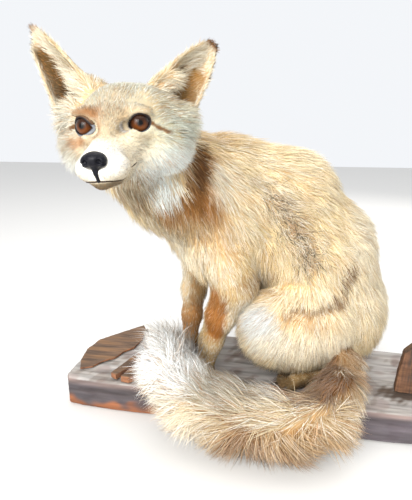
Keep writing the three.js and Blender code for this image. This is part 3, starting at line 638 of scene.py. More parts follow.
HEAD_MARKS = [
    head_ball((0, -4, 30), (38, 40, 26), (0.50, 0.53, 0.46), 0.9, 18),
    head_ball((4, 22, 6), (17, 18, 20), (0.34, 0.28, 0.19), 0.85, 10),
    head_ball((2, 6, 30), (20, 20, 12), FACE_TAN, 0.5, 12),
    head_ball((56, -14, -18), (34, 44, 32), (0.57, 0.63, 0.54), 0.95, 18),
    head_ball((34, 10, -16), (14, 12, 7), FACE_TAN, 0.3, 7),
    head_ball((-58, -20, -14), (28, 44, 40), (0.52, 0.51, 0.44), 0.85, 12),
    head_ball((46, -26, -54), (38, 50, 32), FACE_GREY, 1.0, 12),
    head_ball((-50, -26, -56), (32, 46, 24), FACE_GREY, 0.9, 12),
    head_ball((20, 34, -18), (15, 22, 10), CREAM, 0.8, 6),
    head_ball((-14, 38, -20), (14, 18, 12), CREAM, 0.8, 6),
    head_ball((0, 54, -29), (27, 27, 17.5), WHITE, 1.0, 8),
    head_ball((26, 24, -31), (22, 24, 10), (0.84, 0.79, 0.66), 0.8, 6),
    head_ball((-24, 24, -31), (18, 24, 10), (0.84, 0.79, 0.66), 0.8, 6),
    # Under the jaw, on the chin and down the throat: tan coat with painted shade under the head.
    head_ball((4, 12, -62), (32, 44, 11), JAW_TAN_AND_SHADE, 0.8, 9),
    head_ball((0, 46, -57), (24, 32, 11.0), JAW_TAN_AND_SHADE * 0.48, 0.95, 2.5),
    head_ball((0, -42, -86), (46, 56, 28), JAW_TAN_AND_SHADE * 1.05, 0.8, 14),
    head_streak((-6, -44, -84), 4, (26, -50, -92), 4, BROWN, 0.5, 5),
    head_streak((-13, 56, -54), 6.5, (15, 56, -54), 6.5, JAW_TAN_AND_SHADE * 0.45, 0.95, 2.5),
    head_ball((0, -8, -72), (34, 30, 14), JAW_TAN_AND_SHADE * 0.6, 0.85, 10),
    # The lower lip's pale line: pale fur with a painted highlight along it.
    head_ball((2, 58, -47.2), (13, 9, 1.3), CREAM, 0.8, 0.8),
    head_ball((-17, 18, 11), (8, 10, 7), FACE_RUST, 0.85, 6),
    head_ball((-14, 16, 22), (8, 10, 10), FACE_RUST, 0.5, 9),
    head_ball((-31, 9, 12), (12, 8, 6), FACE_RUST * 0.6, 0.85, 8),
    head_ball((-11, 27, -3), (5, 10, 9), FACE_RUST, 0.7, 5),
    head_ball((-34, 14, -13), (10, 9, 5), FACE_RUST, 0.8, 5),
    head_ball((-22, 14, 13), (9, 8, 6), FACE_RUST * 0.7, 0.85, 8),
    head_ball((-44, 6, -15), (14, 12, 6), FACE_RUST * 1.1, 0.75, 6),
    head_ball((-20, 26, -15), (10, 11, 7), FACE_TAN * 0.9, 0.7, 4),
    head_ball((32, 6, 12), (15, 11, 5.5), FACE_TAN * 0.85, 0.7, 7),
    head_ball((14, 19, 8), (5, 10, 9), FACE_TAN * 0.85, 0.75, 4),
    head_ball((34, 9, -12), (15, 10, 4), FACE_TAN, 0.35, 4),
    # Painted shade in the folds behind the eyes' outer corners.
    *fold_shade_marks(CREASE[1], 2.4),
    head_streak((38, 8, -5), 1.6, (50, 2, -12), 1.4, FACE_RUST, 0.8, 2.2),
    *fold_shade_marks(CREASE[-1], 3.0),
    head_streak((-34, 11, -9), 2.0, (-50, 1, -8), 1.6, FACE_RUST * 0.6, 0.85, 2.4),
    head_streak((15, 19, -3), 2.6, (22, 18, -9), 2.0, TEAR_GREY, 0.8, 2),
    head_streak((-33, 13, -10), 1.8, (-38, 8, -8), 1.8, TEAR_GREY, 0.5, 2),
    head_ball((34, -42, 48), (10, 16, 14), FACE_TAN, 0.7, 8),
    head_ball((-34, -36, 44), (12, 16, 12), FACE_TAN, 0.5, 8),
]


def marked(points, colours, marks, ragged=3.0):
    """Lays the marks over the colours, each with a ragged edge."""
    columns = points.T
    for i, (shape, colour, strength, soft) in enumerate(marks):
        near = np.all((points > shape.low - soft - 6) & (points < shape.high + soft + 6), axis=1)
        if not near.any():
            continue
        at = points[near]
        edge = shape.distance(*columns[:, near]) + ragged * 0.5 * ripple(at, 14, 40 + i)
        colours[near] = mixed(colours[near], colour, strength * (1 - step(-soft, soft, edge)))
    return colours


def ear_colours(points, side):
    """Cream long hair from the medial edge, a golden brown hollow with painted shade low in it and over all
    of the right one, a pale outer edge and a dark back.
    """
    ear = EAR[side]
    s, across, behind, _ = ear.frame_of(*points.T)
    inner = 1 - step(0.80, 0.98, np.hypot(across, behind))
    medial = across * ear.medial
    top = 0.76 if side == "left" else 0.88
    ragged = 0.06 * ripple(points, 7, 35)
    hollow = inner * step(0.3, 0.0, medial + ragged) * step(0.18, 0.3, s + ragged)
    hollow *= step(top, top - 0.14, s)
    colours = np.tile(PALE * 0.75, (len(points), 1))
    back = (1 - inner) * step(-0.1, 0.35, behind) * step(0.9, 0.5, medial)
    # The right ear's hollow brown is far darker than the left's: painted shade on that ear.
    deep = HOLLOW_BROWN * (0.9 if side == "left" else 0.29)
    tones = [
        (back * step(0.1, 0.5, s), BROWN),
        (back * step(0.35, 0.9, s), DARK),
        (inner, CREAM * 0.8),
        (hollow, deep),
        # Painted shade low in the hollow, towards its outer side.
        (hollow * step(0.0, -0.4, medial) * step(0.6, 0.3, s), deep * 0.5),
        (step(-0.80, -0.93, medial) * (1 - back), CREAM * 0.78),
        (step(0.90, 0.985, s), BROWN),
    ]
    for cover, colour in tones:
        colours = mixed(colours, colour, cover)
    return colours


def coat_depth(region):
    """How far the markings' places, on the coat's outline, stand off the skin, in millimetres."""
    if region.startswith(("fore", "hind", "ear")):
        return 2.0
    return {"head": 3.0, "tail": 20.0}.get(region, 11.0)


def coat_colours(places, normals, region):
    """The coat's colour over places on a region's skin. The skin under it carries the same."""
    points = places + normals * coat_depth(region)
    if region.startswith("ear"):
        return ear_colours(places, region[4:])
    colours = np.tile(GOLD, (len(points), 1)).astype(float)
    for tone, size, seed in ((TAN, 42, 90), (CREAM, 36, 91)):
        colours = mixed(colours, tone, 0.4 * step(0.1, 0.8, ripple(points, size, seed)))
    if region == "head":
        colours[:] = CREAM * 0.45 + PALE * 0.34
        return marked(points, marked(points, colours, NECK_MARKS), HEAD_MARKS, 2)
    if region == "tail":
        colours[:] = PALE * 0.42 + TAN * 0.36
        return marked(points, colours, TAIL_MARKS, 8)
    if region.startswith("hind"):
        return marked(points, colours, HIND_PAW_DARK_AND_SHADOW_MARKS, 5)
    if region.startswith("fore"):
        colours *= 0.76
        return marked(points, marked(points, colours, BODY_MARKS), FORELEG_MARKS, 4)
    return marked(points, colours, [*BODY_MARKS, ELBOW_MARK], 9)


# ------------------------------------------------------------------ the way that the coat lies
# The comb says which way the body's hair points: each of its teeth is (place, direction, reach).
MIDLINE = [
    ((-110, -70, 385), (0.5, 0.75, -0.3), 50),
    ((-40, 10, 370), (1, 0.25, -0.15), 60),
    ((40, 30, 350), (1, 0.15, -0.5), 60),
    ((110, 35, 280), (0.6, 0.1, -1), 60),
    ((160, 45, 180), (0.15, 0, -1), 60),
    ((165, 45, 110), (-0.1, 0, -1), 50),
    ((-20, 10, 165), (0.8, 0, -0.3), 40),
    ((-125, -40, 270), (0.1, 0.1, -1), 45),
]
NECK_SIDE = [
    ((-120, -130, 320), (0.3, 0.1, -0.9), 40),
    ((-50, -115, 330), (0.15, 0.1, -1), 34),
]
LEFT_FLANK = [
    ((-80, -85, 280), (0.1, 0.1, -1), 45),
    ((-30, -80, 330), (0.5, 0, -0.9), 34),
    ((-40, -75, 240), (0.1, 0, -1), 45),
    ((10, -62, 320), (1, 0, -0.25), 40),
    ((50, -55, 280), (1, 0, -0.35), 40),
    ((100, -40, 235), (0.8, 0, -0.6), 40),
    ((18, -60, 250), (0.2, 0, -1), 34),
    ((25, -60, 205), (-0.7, 0, -0.6), 30),
    ((70, -66, 195), (-0.5, 0, -0.9), 34),
    ((8, -80, 150), (-1, -0.1, -0.35), 30),
    ((45, -84, 150), (-0.6, 0, -0.8), 30),
    ((40, -84, 110), (-0.35, 0, -1), 30),
    ((100, -75, 130), (0.1, 0, -1), 40),
    ((140, -40, 150), (0.2, 0, -1), 40),
]


def spine_at(x):
    """The body's middle at a place along it, from left to right."""
    return 8 + 0.2 * x


def mirrored(place, direction, reach):
    """The same tooth of the comb on the other flank."""
    x, y, z = place
    return (x, 2 * spine_at(x) - y, z), (direction[0], -direction[1], direction[2]), reach


COMB = MIDLINE + NECK_SIDE + LEFT_FLANK + [mirrored(*tooth) for tooth in LEFT_FLANK]


def along(points, stations):
    """The direction of the nearest length of a limb, root to tip."""
    best = np.full(len(points), 1e9)
    way = np.zeros((len(points), 3))
    for start, end in zip(stations, stations[1:]):
        a, b = np.array(start[:3], float), np.array(end[:3], float)
        t = np.clip((points - a) @ (b - a) / ((b - a) @ (b - a)), 0, 1)
        away = np.linalg.norm(points - a - t[:, None] * (b - a), axis=1)
        nearer = away < best
        best[nearer] = away[nearer]
        way[nearer] = unit(b - a)
    return way


def head_lie(points):
    """Hair runs back from the nose, parts round the eyes, and falls at the cheeks and throat."""
    local = to_head(points)
    way = unit(local - (0, 68, -22))
    for side in (1, -1):
        eye = np.array((EYE_X[side] + side * 5, 9, 0))
        near = np.exp(-(((local - eye) / (15, 14, 12)) ** 2).sum(1))[:, None]
        way += near * 0.8 * unit(local - eye)
    low = step(-30, -62, local[:, 2])[:, None]
    side_on = step(20, 50, np.abs(local[:, 0]))[:, None]
    way += low * (0, -0.2, -0.8) + side_on * (0, -0.25, -0.75)
    chin = (step(-36, -48, local[:, 2]) * step(10, 30, local[:, 1]))[:, None]
    way = way * (1 - 0.7 * chin) + chin * (0, -0.8, -0.3)
    return way @ HEAD_TURN.T


def ear_lie(points, side):
    """Hair runs up the ear, and leans outward across its hollow from the inner rim."""
    ear = EAR[side]
    _, across, behind, _ = ear.frame_of(*points.T)
    inside = (1 - step(0.78, 0.96, np.hypot(across, behind)))[:, None]
    medial = ear.aside * ear.medial
    fan = np.clip(across, -1, 1)[:, None] * ear.aside * 0.35
    outer = ear.up + fan
    inner = ear.up * 0.9 - medial * 0.45 + ear.ahead * 0.35
    return outer * (1 - inside) + inner * inside


def tail_rise(points):
    """How high on the tail's round a place on its skin is, from -1 to 1."""
    x, _, level, _ = zip(*TAIL[:1:-1])  # its middle, from the tip to where it comes round the hip
    return (points[:, 2] - np.interp(points[:, 0], x, level)) / 23


def tail_lie(points):
    """Hair fans down from a parting on the outer bend, and runs up and tipward over the top."""
    x, _, z = points.T
    tipward = along(points, TAIL)
    fan = np.clip((x + 0.5 * (z - 80) + 10 + 16 * ripple(points, 34, 33)) / 40, -1, 1) * step(122, 90, x)
    fan = fan[:, None]
    fall = np.array((0, -0.1, -1.0))
    outer = fall * (1.0 - 0.35 * np.abs(fan)) - tipward * fan * 1.15
    over = step(0.2, 0.85, tail_rise(points) + 0.25 * ripple(points, 40, 34))[:, None]
    wild = step(-30, -70, x)[:, None]
    root = step(70, 105, x)[:, None]
    top = tipward * (0.9 - 0.9 * wild) + np.array((-0.3, 0, 0.9)) * (0.3 + 0.7 * wild) * (1 - root)
    top += fall * 0.35 * root
    return outer * (1 - over) + top * over


def lie(points, normals, region):
    """Which way the hair points, along the skin."""
    if region == "head":
        way = head_lie(points)
    elif region.startswith("ear"):
        way = ear_lie(points, region[4:])
    elif region == "tail":
        way = tail_lie(points)
    elif region in PAWS:
        (x, y), heading = PAWS[region]
        toe_tip = toe_places((x, y), heading)[0][1][1]
        above = FORELEG[region[5:]] if region.startswith("fore") else [HEELS[region]]
        way = along(points, [*above, (x, y, SLAB_TOP + 9), toe_tip])
    else:
        way = np.zeros((len(points), 3))
        for place, direction, reach in COMB:
            weight = np.exp(-((points - place) ** 2).sum(1) / (2 * reach**2)) + 1e-9
            way += weight[:, None] * unit(direction)
    way = unit(way)
    way = way - normals * (way * normals).sum(1, keepdims=True)
    return unit(way)


# ------------------------------------------------------------------ tufts
class Coat:
    """How one piece of the coat grows.

    It has so many tufts, with a length and width in millimetres and a lift off the skin in degrees, and
    rings of corners before the tip. Hair gathers in locks, which are larger as lock is: gather is how far
    the tips lean to their lock's leader, and shade how much darker a lock may be. Tips droop, and hair
    strays. Length and lift are each a number or a function of place.
    """

    def __init__(self, tufts, length, width, lift, rings=2, gather=0.25, stray=0.2, droop=0.1, lock=9.0,
                 shade=0.18):
        self.tufts, self.length, self.width, self.lift = int(tufts * DENSITY), length, width, lift
        self.rings, self.gather, self.stray, self.droop, self.lock = rings, gather, stray, droop, lock
        self.shade = shade


def measure(value, places):
    """A length or a lift at each place."""
    return value(places) if callable(value) else np.full(len(places), float(value))


def cheekward(points):
    """0 on the front of the face and 1 on the ruff of the cheeks, the temples and the throat."""
    local = to_head(points)
    wide = step(26, 56, np.abs(local[:, 0])) * step(26, 2, local[:, 1])
    low = step(-34, -60, local[:, 2]) * step(30, 0, local[:, 1])
    return np.maximum(wide, low)


def face_length(points):
    """Shortest round the nose, the eyes and the folds beside them, and longest on the ruff."""
    local = to_head(points)
    away = np.linalg.norm(local - (0, 60, -25), axis=1)
    length = 2.8 + 6.4 * step(30, 80, away) + 8.5 * cheekward(points) * step(40, 85, away)
    for side in (1, -1):
        near = np.linalg.norm(local - (EYE_X[side] + side * 5, 9, 0), axis=1)
        length *= 0.45 + 0.55 * step(9, 22, near)
        fold = Cone(CREASE[side][0], 4, CREASE[side][-1], 4)
        length *= 0.35 + 0.65 * step(2, 8, fold.distance(*local.T))
    return length


def face_lift(points):
    return 11 + 15 * cheekward(points)


def ear_coat(side):
    """An ear's hair: long from its inner rim and its foot, and close elsewhere."""
    ear = EAR[side]

    def long_hair(points):
        s, across, behind, _ = ear.frame_of(*points.T)
        inside = 1 - step(0.80, 0.98, np.hypot(across, behind))
        rim = step(-0.15, 0.55, across * ear.medial) * step(1.0, 0.55, s)
        return inside * rim, step(0.34, 0.08, s)

    def length(points):
        rim, foot = long_hair(points)
        return 5.5 + np.maximum(12.0 * rim, 8.0 * foot)

    def lift(points):
        rim, foot = long_hair(points)
        return 20 + 26 * rim * (1 - foot)

    return Coat(6000, length, 0.8, lift, gather=0.2, stray=0.25, lock=6)


TOUSLED = Cone((8, -59, 329), 8, (74, -51, 226), 16)  # hair on the left flank that stands every way


def tousled(points):
    """1 where the flank's hair is tousled, and 0 away from there."""
    return step(12, -4, TOUSLED.distance(*points.T))


def flank_length(points):
    """Longer behind the elbow, where a lock hangs free."""
    elbow = np.linalg.norm((points - (0, -66, 206)) / (1, 1, 1.3), axis=1)
    return 27 + 22 * step(22, 6, elbow) - 6 * tousled(points)


def haunch_length(points):
    """Shorter along the fold above the knee."""
    lengths = zip(HAUNCH_FOLD, HAUNCH_FOLD[1:])
    fold = np.min([Cone(a, 2, b, 2).distance(*points.T) for a, b in lengths], axis=0)
    return 23 - 13 * step(24, 9, fold)


def tail_length(points):
    """Long at the tip's top and on the inner bend, where it is wild, and shorter on top of the root."""
    x, _, z = points.T
    rise = tail_rise(points)
    tip = step(-40, -80, x) * step(0.2, 0.9, rise)
    bend = step(110, 70, x) * step(-20, 20, x) * step(0.3, 0.9, rise)
    root = step(90, 110, x) * step(60, 90, z)
    return 40 + 8 * tip + 9 * bend - 12 * root


def leg_length(points):
    """Close on the paws, and longer up the leg."""
    return 4 + 11 * step(70, 200, points[:, 2])


COATS = {
    "face": Coat(
        19500, face_length, 0.6, face_lift, gather=0.35, stray=0.18, droop=0.05, lock=4.5, shade=0.3
    ),
    "crown": Coat(
        11500, face_length, 0.9, face_lift, gather=0.4, stray=0.22, droop=0.08, lock=7, shade=0.28
    ),
    **{f"ear_{side}": ear_coat(side) for side in EARS},
    "neck": Coat(13000, 25, 1.05, 27, gather=0.5, lock=11, shade=0.26),
    "trunk_left": Coat(19500, flank_length, 1.05, 28, gather=0.6, stray=0.26, lock=13, shade=0.26),
    "trunk_right": Coat(8500, 26, 1.6, 26, gather=0.35, lock=12),
    "haunch_left": Coat(14500, haunch_length, 1.0, 30, gather=0.45, lock=9),
    "haunch_right": Coat(5500, 22, 1.6, 26, gather=0.3, lock=10),
    "fore_left": Coat(6000, leg_length, 1.0, 22, gather=0.2, lock=6),
    "fore_right": Coat(4600, leg_length, 1.0, 22, gather=0.2, lock=6),
    "hind_left": Coat(2200, leg_length, 1.1, 20, gather=0.2, lock=6),
    "hind_right": Coat(2000, leg_length, 1.1, 20, gather=0.2, lock=6),
    "tail_root": Coat(5500, tail_length, 1.15, 32, rings=3, gather=0.45, stray=0.26, lock=18),
    "tail_middle": Coat(
        8000, tail_length, 1.1, 33, rings=3, gather=0.55, stray=0.3, lock=18, shade=0.28
    ),
    "tail_tip": Coat(6500, tail_length, 1.0, 35, rings=3, gather=0.4, stray=0.46, lock=16),
}


def colour_attribute(mesh, colours):
    """Keeps a colour for each point of a mesh."""
    layer = mesh.color_attributes.new(name="coat", type="BYTE_COLOR", domain="POINT")
    rgba = np.ones((len(colours), 4), np.float32)
    rgba[:, :3] = np.clip(colours, 0, 1)
    layer.data.foreach_set("color", rgba.ravel())


REGIONS = [
    "trunk", "neck", "haunch_left", "haunch_right", "fore_left", "fore_right", "hind_left", "hind_right",
    "tail", "head", "ear_left", "ear_right",
]
TAIL_REGION = REGIONS.index("tail")


def region_of(points):
    """The index of the region whose masses each point is nearest to."""
    best = np.full(len(points), 1e9)
    found = np.zeros(len(points), int)
    columns = points.T
    for name, _, shape in SHAPES:
        away = shape.distance(*columns)
        nearer = away < best
        best[nearer] = away[nearer]
        found[nearer] = REGIONS.index(name)
    for side, ear in EAR.items():
        away = ear.distance(*columns) - 0.5
        nearer = (away < best) & (ear.frame_of(*columns)[0] > 0.1)
        best[nearer] = away[nearer]
        found[nearer] = REGIONS.index(f"ear_{side}")
    return found


def coat_pieces_of(points, regions):
    """The coat piece that each place on the skin belongs to."""
    pieces = np.array(REGIONS, dtype=object)[regions]
    local = to_head(points)
    head = pieces == "head"
    pieces[head] = np.where(local[head, 1] > -16, "face", "crown")
    trunk = pieces == "trunk"
    left = points[trunk, 1] < spine_at(points[trunk, 0])
    pieces[trunk] = np.where(left, "trunk_left", "trunk_right")
    tail = pieces == "tail"
    x, y = points[tail, 0], points[tail, 1]
    root = (x > 66) | (y > -60) & (x > 0)
    pieces[tail] = np.where(root, "tail_root", np.where(x > -50, "tail_middle", "tail_tip"))
    return pieces


def bare(points):
    """Where no hair grows: the eyes' openings, the nose and the line of the mouth."""
    local = to_head(points)
    skip = np.zeros(len(points), bool)
    for side in (1, -1):
        facing = level_way(OPENING_YAW[side])
        rel = local - (EYE_X[side], EYE["ahead"], 0) - facing * 10
        across = rel - (rel @ facing)[:, None] * facing
        skip |= (np.linalg.norm(across / (1, 1, 0.8), axis=1) < 10.6) & (np.abs(rel @ facing) < 9)
    nose = (local - (0, 64, -28)) / (12.6, 10, 9.4)
    skip |= (nose**2).sum(1) < 1
    philtrum = np.abs(local[:, 0]) < 2.8
    skip |= philtrum & (local[:, 1] > 50) & (local[:, 2] < -32) & (local[:, 2] > -46)
    for start, end in zip(MOUTH[:2], MOUTH[1:]):
        for side in (1, -1):
            a, b = np.array(start) * (side, 1, 1), np.array(end) * (side, 1, 1)
            skip |= Cone(a, 1.6, b, 1.2).distance(*local.T) < 0
    return skip


class SkinMap:
    """The skin's triangles, with their normals, areas, regions and coat pieces."""

    def __init__(self, obj):
        mesh = obj.data
        mesh.calc_loop_triangles()
        tris = np.empty(len(mesh.loop_triangles) * 3, np.int32)
        mesh.loop_triangles.foreach_get("vertices", tris)
        self.tris = tris.reshape(-1, 3)
        self.points = points_of(mesh)
        self.normals = normals_of(mesh)
        corners = self.points[self.tris]
        cross = np.cross(corners[:, 1] - corners[:, 0], corners[:, 2] - corners[:, 0])
        self.area = np.linalg.norm(cross, axis=1) / 2
        self.middle = corners.mean(1)
        self.region = region_of(self.middle)
        self.piece = coat_pieces_of(self.middle, self.region)
        soles = (self.middle[:, 2] < SLAB_TOP + 1.5) & (self.region != TAIL_REGION)
        self.bare = bare(self.middle) | soles


def unwrap(points, tris):
    """A place in the unit square for each corner of each triangle, unwrapped from the shape itself."""
    used, back = np.unique(tris, return_inverse=True)
    patch = new_mesh("unwrapped_patch", points[used], back.reshape(-1, 3))
    bpy.context.view_layer.objects.active = patch
    patch.select_set(True)
    bpy.ops.object.mode_set(mode="EDIT")
    bpy.ops.mesh.select_all(action="SELECT")
    bpy.ops.uv.smart_project(angle_limit=math.radians(66), island_margin=0.004)
    bpy.ops.object.mode_set(mode="OBJECT")
    places = np.empty(len(patch.data.loops) * 2, np.float32)
    patch.data.uv_layers.active.data.foreach_get("uv", places)
    places = places.reshape(-1, 3, 2)
    bpy.data.objects.remove(patch)
    return places


def rooted(skin_map, chosen, count, weight):
    """Seeds roots over the chosen triangles: their places, normals, triangles and shares of its corners."""
    area = skin_map.area[chosen] * weight
    pick = rng.choice(len(chosen), count, p=area / area.sum())
    u, v = rng.random(count), rng.random(count)
    over = u + v > 1
    u[over], v[over] = 1 - u[over], 1 - v[over]
    shares = np.stack([1 - u - v, u, v], 1)
    tri = skin_map.tris[chosen[pick]]
    places = np.einsum("ij,ijk->ik", shares, skin_map.points[tri])
    normals = unit(np.einsum("ij,ijk->ik", shares, skin_map.normals[tri]))
    return places, normals, pick, shares


def locks_of(places, size):
    """Gathers size * size / 14 tufts to a lock: the index of each root's nearest leader, also a root."""
    count = max(8, int(len(places) * min(1, 14.0 / size**2)))
    leaders = rng.choice(len(places), count, replace=False)
    tree = KDTree(count)
    for i, leader in enumerate(leaders):
        tree.insert(places[leader], i)
    tree.balance()
    return leaders[[tree.find(place)[1] for place in places]]


FLOOR_GAP = {"knee": 1.5, "tip": 1.0}  # how far above the floor a tuft's bend and its tip stay
RIDGE = np.radians((90, 215, 325))  # the three edges of a tuft, the first one outward
# Shares of a tuft's length: below the skin, up to its bend and on to its tip. Thick is a share of its width.
TUFT = {"sunk": 0.10, "to_bend": 0.45, "to_tip": 0.6, "thick": 0.6}
TUFT_PATCH = 0.003  # the width of a tuft on the bake map


def tuft_mesh(name, coat, places, normals, ways, lengths, colours, tips, uv):
    """One closed, tapering blade of three sides for each root, all in one mesh."""
    count = len(places)
    messy = tousled(places)[:, None]
    stray = rng.normal(size=(count, 3)) * coat.stray * (1 + 3.5 * messy)
    drift = np.stack([ripple(places, 30, 60 + i) for i in range(3)], 1) * coat.stray * 1.2
    ways = unit(ways + stray + drift)
    ways = unit(ways - normals * (ways * normals).sum(1, keepdims=True) * 0.9)
    raised = measure(coat.lift, places) * rng.uniform(0.5, 1.5, count)
    lift = np.radians(raised)[:, None] * (1 + 0.7 * messy)
    lengths = (lengths * rng.uniform(0.75, 1.2, count))[:, None]

    start = places - normals * (TUFT["sunk"] * lengths + 0.3)
    knee = places + lengths * TUFT["to_bend"] * (ways * np.cos(lift) + normals * np.sin(lift))
    down = np.array((0, 0, -1.0))
    late = unit(ways * np.cos(lift * 0.25) + normals * np.sin(lift * 0.25) + down * coat.droop)
    end = knee + lengths * TUFT["to_tip"] * late
    knee[:, 2] = np.maximum(knee[:, 2], FLOOR_GAP["knee"])
    end[:, 2] = np.maximum(end[:, 2], FLOOR_GAP["tip"])
    leader = locks_of(places, coat.lock)
    end = end + (end[leader] - end) * coat.gather * rng.uniform(0.3, 1.0, (count, 1))
    shade = 1 - coat.shade * rng.random(count)[leader][:, None]
    colours, tips = colours * shade, tips * shade
    aside = unit(np.cross(ways, normals))
    widths = (coat.width * rng.uniform(0.7, 1.3, count))[:, None] / 2

    rings = coat.rings
    vertices = np.empty((count, rings * 3 + 1, 3))
    tint = np.empty((count, rings * 3 + 1, 3))
    for i in range(rings):
        t = i / rings
        middle = start * (1 - t) ** 2 + knee * 2 * t * (1 - t) + end * t**2
        tangent = unit((knee - start) * (1 - t) + (end - knee) * t)
        over = unit(np.cross(aside, tangent))
        radius = widths * (1 - t) ** 0.7 * (0.8 if i == 0 else 1)
        for j, angle in enumerate(RIDGE):
            out = aside * math.cos(angle) + over * (TUFT["thick"] * math.sin(angle))
            vertices[:, i * 3 + j] = middle + radius * out
            tint[:, i * 3 + j] = colours * (1 - t) + tips * t
    vertices[:, -1] = end
    tint[:, -1] = tips

    faces = [(0, 1, 2)]
    for i in range(rings - 1):
        for j in range(3):
            a, b = i * 3 + j, i * 3 + (j + 1) % 3
            faces += [(a, b + 3, b), (a, a + 3, b + 3)]
    last = (rings - 1) * 3
    faces += [(last + j, last + 3, last + (j + 1) % 3) for j in range(3)]
    faces = np.array(faces)
    size = rings * 3 + 1
    all_faces = (np.arange(count) * size)[:, None, None] + faces
    made = new_mesh(name, vertices.reshape(-1, 3), all_faces.reshape(-1, 3))
    colour_attribute(made.data, tint.reshape(-1, 3))

    patch = np.zeros((size, 2))
    for i in range(rings):
        patch[i * 3 : i * 3 + 3] = [(0.0, i / rings), (-1.0, i / rings), (1.0, i / rings)]
    patch[-1] = (0, 1)
    patch = (patch * (0.5, 1) - (0, 0.5)) * TUFT_PATCH
    places_on_map = np.clip(uv[:, None] + patch, 0, 1).reshape(-1, 2)
    layer = made.data.uv_layers.new(name="OFBake")
    layer.data.foreach_set("uv", places_on_map[all_faces.reshape(-1)].astype(np.float32).ravel())

    body = np.repeat(normals[:, None], size, 1).reshape(-1, 3)
    own = normals_of(made.data)
    made.data.normals_split_custom_set_from_vertices(unit(own * 0.45 + body * 0.55).tolist())
    return made


def tinted(colours, places, piece):
    """Each tuft's own colour: lighter, darker, rustier or paler than the marking it grows in."""
    count = len(colours)
    light = rng.normal(1, 0.10, count)[:, None]
    colours = colours * light * (1 + 0.10 * ripple(places, 26, 5)[:, None])
    spice = rng.random(count)[:, None]
    warm = colours * 0.45 + RUST * 0.55
    dark = colours * 0.45 + BROWN * 0.55
    messy = tousled(places)
    clot = rng.random(count) < 0.45 * messy
    colours = np.where(clot[:, None], colours * 0.25, colours)
    share = 0.5 * step(0.12, 0.45, colours.mean(1))[:, None]
    pale = colours * (1 - share) * 1.15 + WHITE * share
    face = piece in ("face", "crown") or piece.startswith("ear")
    darks, warms, pales = (0.04, 0.16, 0.10) if face else (0.05, 0.14, 0.18)
    colours = np.where(spice < darks, dark, colours)
    colours = np.where((spice > darks) & (spice < darks + warms), warm, colours)
    return np.where(spice > 1 - pales, pale, colours)


def tip_colours(colours, places, piece):
    """Tips are paler where the hair is fair, and some of the tail's are dark."""
    fair = colours.mean(1, keepdims=True)
    if piece == "tail_tip":
        smoky = (rng.random(len(colours)) < 0.45 * step(0.5, 1.0, tail_rise(places)))[:, None]
        return np.where(smoky, ASH * 0.7, colours * 0.88 + WHITE * 0.12)
    if piece.startswith("tail"):
        dark = (rng.random(len(colours)) < 0.2)[:, None] & (fair < 0.55)
        return np.where(dark, colours * 0.35 + BROWN * 0.65, colours * 0.88 + WHITE * 0.12)
    share = 0.26 * step(0.18, 0.5, fair)
    return colours * (1 - share) + CREAM * share


# How a root's colour is to its hair's: partly its own deeper colour and partly painted shade among the
# locks.
ROOTS = {
    "head": np.array((0.92, 0.84, 0.72)), "body": np.array((0.92, 0.82, 0.68)),
    "white": np.array((0.88, 0.86, 0.83)),
}


def root_colours(colours, piece):
    """Roots are deeper and warmer, partly in their own colour and partly as painted shade among the locks,
    save in white hair.
    """
    warm = step(0.05, 0.35, 1 - colours.min(1) / colours.max(1))[:, None]
    deep = ROOTS["head"] if piece in ("face", "crown") else ROOTS["body"]
    return colours * (deep * warm + ROOTS["white"] * (1 - warm))


def grow_coat(skin_map, piece):
    """One piece of the coat: rooted on the skin, combed, coloured and made into tufts."""
    coat = COATS[piece]
    chosen = np.flatnonzero((skin_map.piece == piece) & ~skin_map.bare)
    weight = 1.0
    if piece in ("face", "crown"):
        local = to_head(skin_map.middle[chosen])
        weight = 1.0 + 1.6 * step(-10, 40, local[:, 1])
    count = coat.tufts
    places, normals, pick, shares = rooted(skin_map, chosen, count, weight)
    corners = unwrap(skin_map.points, skin_map.tris[chosen])
    uv = np.einsum("ij,ijk->ik", shares, corners[pick])
    regions = skin_map.region[chosen[pick]]
    ways = np.empty((count, 3))
    colours = np.empty((count, 3))
    lengths = measure(coat.length, places)
    if piece == "tail_tip":
        wisps = np.where(rng.random(count) < 0.22, 1.15, 0.66)
        lengths = np.where(tail_rise(places) > 0.3, lengths * wisps, lengths)
    for index in np.unique(regions):
        mine = regions == index
        ways[mine] = lie(places[mine], normals[mine], REGIONS[index])
        seen = places[mine] + ways[mine] * lengths[mine, None] * 0.5
        colours[mine] = coat_colours(seen, normals[mine], REGIONS[index])
    colours = tinted(colours, places, piece)
    tips = tip_colours(colours, places, piece)
    roots = root_colours(colours, piece)
    return tuft_mesh(f"coat_{piece}", coat, places, normals, ways, lengths, roots, tips, uv)


# ------------------------------------------------------------------ materials
def new_material(name):
    """A node material, its nodes, its links and its surface shader."""
    material = bpy.data.materials.new(name)
    material.use_nodes = True
    nodes, links = material.node_tree.nodes, material.node_tree.links
    return material, nodes, links, nodes["Principled BSDF"]


def noise_node(nodes, links, scale, detail=4.0, stretch=(1, 1, 1)):
    """Noise on Object coordinates, stretched along the axes."""
    where = nodes.new("ShaderNodeTexCoord")
    mapping = nodes.new("ShaderNodeMapping")
    mapping.inputs["Scale"].default_value = stretch
    links.new(where.outputs["Object"], mapping.inputs["Vector"])
    noise = nodes.new("ShaderNodeTexNoise")
    noise.inputs["Scale"].default_value = scale
    noise.inputs["Detail"].default_value = detail
    links.new(mapping.outputs["Vector"], noise.inputs["Vector"])
    return noise


def kept_colour(nodes):
    """The colours that a mesh keeps for its points."""
    colour = nodes.new("ShaderNodeAttribute")
    colour.attribute_name = "coat"
    return colour.outputs["Color"]


